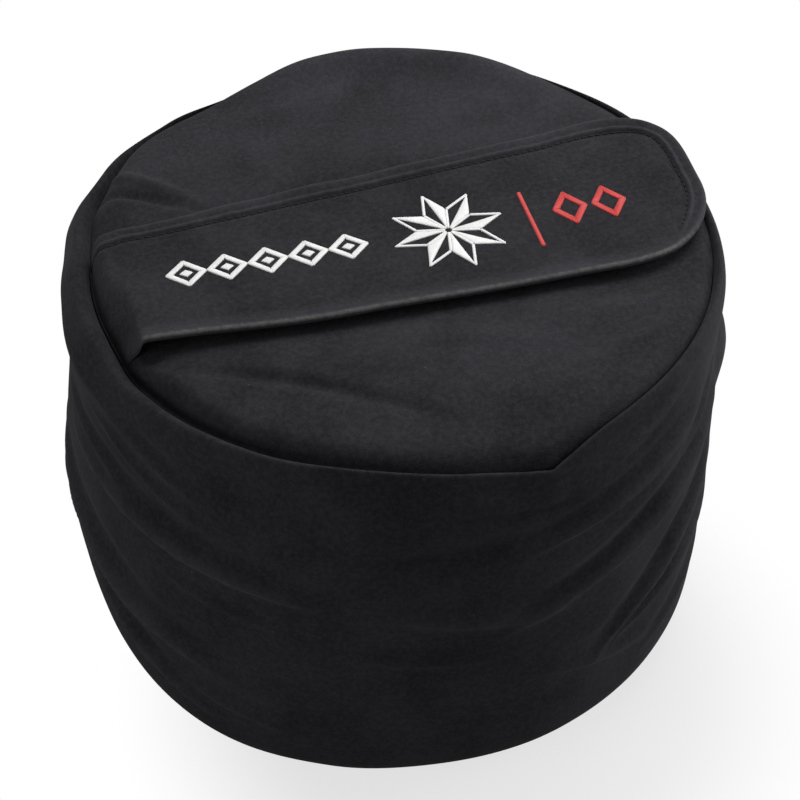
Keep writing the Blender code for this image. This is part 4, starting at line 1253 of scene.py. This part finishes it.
flap = new_piece("flap_canvas", flap_mesh(), canvas, "flap_face", body=None,
                 stands_for=["flap_face", "flap_root"], thickness=FLAP_CLOTH)
lining = new_piece("flap_lining", lining_mesh(), canvas, "flap_backing", body=None,
                   thickness=FLAP_CLOTH)
upper_line, upper_roll = hem_path()
under_line = upper_line - np.array([0, 0, FLAP_TOP - LINING_UNDER + 0.1 * MM])
hem_sewing = sewn("flap", upper_line[upper_roll < 0.5], "flap_face", body=None)
lining_sewing = sewn("flap_lining", under_line, "flap_backing", body=None)
for each in (flap, lining, hem_sewing, lining_sewing):
    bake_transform(each)

# Hook strips: the stiff half of the closure under the flap, a woven tape with rows of small
# moulded hooks that point down to the loops. It is sewn to the lining all round.

HOOK_PITCH = 1.9 * MM
HOOK_HEIGHT = 1.0 * MM
CARRIER_CLOTH = 0.5 * MM


def hook_rings():
    """One hook: a stem that bends over at its end, as square rings along a bent line."""
    down = np.array([0, -0.45, -0.8, -1.0, -0.95, -0.78])[:, None] * HOOK_HEIGHT
    out = np.array([0, 0, 0.08, 0.3, 0.52, 0.62])[:, None] * HOOK_HEIGHT
    thick = np.array([0.26, 0.18, 0.15, 0.14, 0.12, 0.06])[:, None] * MM
    lean = np.array([0, 0, 0.5, 1.3, 2.0, 2.4])[:, None]
    turn = np.array([0.25, 0.75, 1.25, 1.75]) * math.pi
    over = thick * np.sin(turn)
    return joined(out + over * np.cos(lean), thick * np.cos(turn), down + over * np.sin(lean))


def hook_frames(low, high):
    """A place for each hook; every second row of them faces the other way."""
    x = np.arange(low[0] + 3 * MM, high[0] - 3 * MM, HOOK_PITCH)
    y = np.arange(low[1] + 3 * MM, high[1] - 2.9 * MM, HOOK_PITCH)
    row = np.repeat(np.arange(len(y)), len(x))
    frames = upright(joined(np.tile(x, len(y)), y[row], high[2] - 0.45 * MM))
    frames[:, :2, :2] *= np.where(row % 2 == 0, 1, -1)[:, None, None]
    return frames


for half_name in ("front", "rear"):
    hook_name = "hook_strip_" + half_name
    hook_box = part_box(hook_name)
    carrier = new_piece(hook_name + "_tape", strip_mesh(*hook_box), twill, hook_name, body="flap",
                        thickness=CARRIER_CLOTH)
    hooks = new_piece(hook_name + "_hooks", many(hook_rings(), hook_frames(*hook_box)), nylon,
                      hook_name, body="flap", stands_for=())
    path = box_path(*hook_box, 1.8 * MM)
    path = joined(*path.T, hook_box[1][2] - 0.55 * MM)
    sewn(hook_name, path, hook_name, body="flap")

# Embroidery on the flap: satin stitch in white and red, a band of lozenges, an eight-pointed
# star, one upright bar and two open lozenges. Each bar of stitches is domed over its padding.

SATIN_PITCH = 0.5 * MM
THREAD_WHITE = (0.90, 0.90, 0.89)
SHADED_WHITE = (0.70, 0.70, 0.71)
THREAD_RED = (0.62, 0.042, 0.038)
SHADED_RED = (0.40, 0.018, 0.016)
BAND_LEFT, BAND_RIGHT = -101 * MM, -12 * MM
BAND_LOW, BAND_HIGH = -17 * MM, 0.0
BAND_COUNT = 5
STAR_MIDDLE = np.array([24, -9]) * MM
STAR_RADIUS = 26 * MM
STAR_TURN = 11
RED_BAR_X = 61 * MM
RED_LOZENGES = (80 * MM, 98 * MM)


def thread_finish(name, colour, deep):
    """Shiny polyester thread: slightly darker in places, with fine fibres along it."""
    finish, solid, shader = new_finish(name, roughness=0.5, sheen=0.25, specular=0.4)
    fibres = noise(solid, 2200, 3)
    tone = fibres.between(0.3, 0.7) * 0.25 + noise(solid, 160, 3).between(0.4, 0.8) * 0.25
    feed(shader, Base_Color=tone.blend(colour, deep), Normal=bump(fibres, 0.4, 0.08 * MM))
    return finish


def satin_bar(start, end, left, right, lean=None):
    """Rings of one bar of satin stitch from start to end over the flap.

    left and right are widths on either side, as short lists from start to end. The bar is
    domed by a root of one minus the square across it, and its threads are cosine ridges.
    lean is how far the threads at both ends run along the bar for each step across it, so
    that two bars meet in a mitre.
    """
    start, end = np.array(start), np.array(end)
    length = np.linalg.norm(end - start)
    way = (end - start) / length
    along = np.linspace(0, 1, max(8, int(length / SATIN_PITCH * 4)))[:, None]
    tip = np.clip(np.minimum(along, 1 - along) * length / (0.5 * MM), 0.6 if lean else 0.15, 1) ** 0.5
    wide_left, wide_right = [np.interp(along, np.linspace(0, 1, len(wide)), wide) * tip + 0.02 * MM
                             for wide in (left, right)]
    half = (wide_left + wide_right) / 2
    turn = np.linspace(0, 2 * math.pi, 14, endpoint=False)
    ridge = np.cos(along * length / SATIN_PITCH * 2 * math.pi)
    offset = (wide_left - wide_right) / 2 + half * np.cos(turn) * (1 + 0.05 * ridge)
    leaning = np.interp(along, (0, 1), lean or (0, 0)) * offset
    flat = (start + (end - start) * along)[:, None] + way * leaning[..., None]
    flat = flat + np.array([-way[1], way[0]]) * offset[..., None]
    high = np.minimum(0.62 * MM, half * 0.6 + 0.15 * MM) * tip
    dome = np.clip(1 - np.cos(turn) ** 2, 0, 1) ** 0.35 * np.sign(np.sin(turn) + 1e-9)
    rise = np.where(dome > 0, dome * (high + 0.07 * MM * ridge), dome * 0.25 * MM)
    x, z = flap_surface(flat[..., 0], flat[..., 1])
    return joined(x, flat[..., 1], z + rise)


def embroidered(name, bars, finish):
    """All bars of one thread colour as one piece that swings with the flap."""
    shaped = bmesh.new()
    for bar in bars:
        part = many(satin_bar(*bar), upright([(0, 0, 0)]))
        shaped.from_mesh(part)
        bpy.data.meshes.remove(part)
    bmesh.ops.recalc_face_normals(shaped, faces=shaped.faces)
    mesh = bpy.data.meshes.new(name)
    shaped.to_mesh(mesh)
    shaped.free()
    mesh.shade_smooth()
    new_piece(name, mesh, finish, "flap_face", body="flap", stands_for=())


def lozenge(middle, half_x, half_y, wide):
    """Four bars round a lozenge, mitred: they lean by one over their half's tangent."""
    corners = [(half_x, 0), (0, half_y), (-half_x, 0), (0, -half_y), (half_x, 0)]
    corners = [np.array(middle) + np.array(corner) for corner in corners]
    lean = (half_x / half_y, -half_y / half_x)
    leans = [lean, (-lean[1], -lean[0])] * 2
    half = [wide / 2] * 2
    return [(a, b, half, half, each) for a, b, each in zip(corners, corners[1:], leans)]


def lozenge_band():
    """A row of open lozenges with a small filled one in each."""
    pitch = (BAND_RIGHT - BAND_LEFT) / BAND_COUNT
    middle_y = (BAND_LOW + BAND_HIGH) / 2
    half_y = (BAND_HIGH - BAND_LOW) / 2 - 1.2 * MM
    fill = [0, 2.4 * MM, 0]
    bars = []
    for number in range(BAND_COUNT):
        x = BAND_LEFT + (number + 0.5) * pitch
        bars += lozenge((x, middle_y), pitch / 2 - 1.4 * MM, half_y, 2.6 * MM)
        bars.append(((x - 3 * MM, middle_y), (x + 3 * MM, middle_y), fill, fill))
    return bars


def star():
    """Eight lozenges from one middle, one half of each filled and the other left open."""
    half_point = math.radians(22.5)
    side = STAR_RADIUS / (2 * math.cos(half_point))
    deep = side * math.sin(half_point)
    line = [0.65 * MM] * 2
    bars = []
    for number in range(8):
        turn = math.radians(45 * number + STAR_TURN)
        to_tip = STAR_RADIUS * np.array([math.cos(turn), math.sin(turn)])
        to_elbow = side * np.array([math.cos(turn + half_point), math.sin(turn + half_point)])
        tip, elbow = STAR_MIDDLE + to_tip, STAR_MIDDLE + to_elbow
        bars.append((STAR_MIDDLE + to_tip * 0.06, tip, [0.1 * MM] * 2, [0, deep * 0.94, 0]))
        bars.append((STAR_MIDDLE + to_elbow * 0.1, elbow, line, line))
        bars.append((elbow, tip, line, line))
    return bars


white_thread = thread_finish("white_thread", THREAD_WHITE, SHADED_WHITE)
red_thread = thread_finish("red_thread", THREAD_RED, SHADED_RED)
red_bars = [((RED_BAR_X, -30 * MM), (RED_BAR_X, 8 * MM), [0.95 * MM] * 2, [0.95 * MM] * 2)]
for middle_x in RED_LOZENGES:
    red_bars += lozenge((middle_x, -8 * MM), 6.6 * MM, 9.5 * MM, 3.0 * MM)
embroidered("embroidery_white", lozenge_band() + star(), white_thread)
embroidered("embroidery_red", red_bars, red_thread)

# Floor, light and camera: a pale sweep under one broad soft light overhead and a weaker one
# at each side, with the camera as high and as far away as the photograph's.

CAMERA_TURN = math.radians(-15)
CAMERA_RISE = math.radians(43.5)
CAMERA_DISTANCE = 0.990
CAMERA_AIM = np.array([4.2, -1.1, 104.5]) * MM
CAMERA_LENS = 94.5
CAMERA_SENSOR = 36
FLOOR_HALF = 4.0
FLOOR_GREY = (0.45, 0.45, 0.455)
FLOOR_SEEN = (0.62, 0.62, 0.625)
FLOOR_GLOW = 0.72
SHADOW_FOOT = (0.02, -0.09, 0)
SHADOW_REACH = (0.09, 0.18)
AMBIENT = 0.17


def floor_finish():
    """A pale floor, white to the camera beyond the reach of the bag's shadow."""
    finish, solid, shader = new_finish("pale_floor", roughness=0.8, specular=0.1)
    foot = solid.node("ShaderNodeVectorMath", {"operation": "SUBTRACT"}, at0=solid, at1=SHADOW_FOOT)
    away = solid.node("ShaderNodeVectorMath", {"operation": "LENGTH"}, output="Value", at0=foot)
    camera_ray = solid.node("ShaderNodeLightPath")
    feed(shader, Base_Color=camera_ray.blend(FLOOR_GREY, FLOOR_SEEN))
    white = solid.node("ShaderNodeEmission", Strength=1.0)
    share = FLOOR_GLOW + away.between(*SHADOW_REACH) * (1 - FLOOR_GLOW)
    lit = Value(solid.tree, shader.outputs["BSDF"])
    mixed = solid.node("ShaderNodeMixShader", at0=camera_ray * share, at1=lit, at2=white)
    feed(solid.tree.nodes["Material Output"], Surface=mixed)
    return finish


def soft_light(name, place, aim, size, power):
    """A square softbox that faces its aim."""
    lamp = bpy.data.lights.new(name, "AREA")
    lamp.shape = "SQUARE"
    lamp.size = size
    lamp.energy = power
    made = bpy.data.objects.new(name, lamp)
    bpy.context.scene.collection.objects.link(made)
    made.location = place
    made.rotation_mode = "QUATERNION"
    made.rotation_quaternion = Vector(np.array(aim) - np.array(place)).to_track_quat("-Z", "Y")


floor_mesh = bpy.data.meshes.new("floor")
corners = [(x * FLOOR_HALF, y * FLOOR_HALF, 0) for x, y in ((-1, -1), (1, -1), (1, 1), (-1, 1))]
floor_mesh.from_pydata(corners, [], [(0, 1, 2, 3)])
floor = bpy.data.objects.new("floor", floor_mesh)
bpy.context.scene.collection.objects.link(floor)
floor_mesh.materials.append(floor_finish())

world = bpy.data.worlds.new("studio")
world.use_nodes = True
backdrop = world.node_tree.nodes["Background"]
backdrop.inputs["Color"].default_value = (1, 1, 1, 1)
sky = Value(world.node_tree, None)
direct, glossy, through = [sky.node("ShaderNodeLightPath", output="Is %s Ray" % kind)
                           for kind in ("Camera", "Glossy", "Transmission")]
shown = direct.max(glossy * 0.5).max(through)
feed(backdrop, Strength=AMBIENT + shown * (1 - AMBIENT))
bpy.context.scene.world = world

soft_light("overhead", (0.3, 0.27, 1.11), (0.05, 0.05, 0.2), 0.7, 9.4)
soft_light("left", (-0.95, -0.35, 0.4), (0, 0, 0.12), 0.5, 2.0)
soft_light("right", (1.0, -0.1, 0.45), (0, 0, 0.12), 0.5, 4.4)

level = math.cos(CAMERA_RISE)
back = np.array([math.sin(CAMERA_TURN) * level, -math.cos(CAMERA_TURN) * level, math.sin(CAMERA_RISE)])
lens = bpy.data.cameras.new("camera")
lens.lens = CAMERA_LENS
lens.sensor_width = CAMERA_SENSOR
camera = bpy.data.objects.new("camera", lens)
bpy.context.scene.collection.objects.link(camera)
camera.location = CAMERA_AIM + back * CAMERA_DISTANCE
camera.rotation_mode = "QUATERNION"
camera.rotation_quaternion = Vector(-back).to_track_quat("-Z", "Y")
bpy.context.scene.camera = camera
bpy.context.scene.view_settings.view_transform = "Standard"
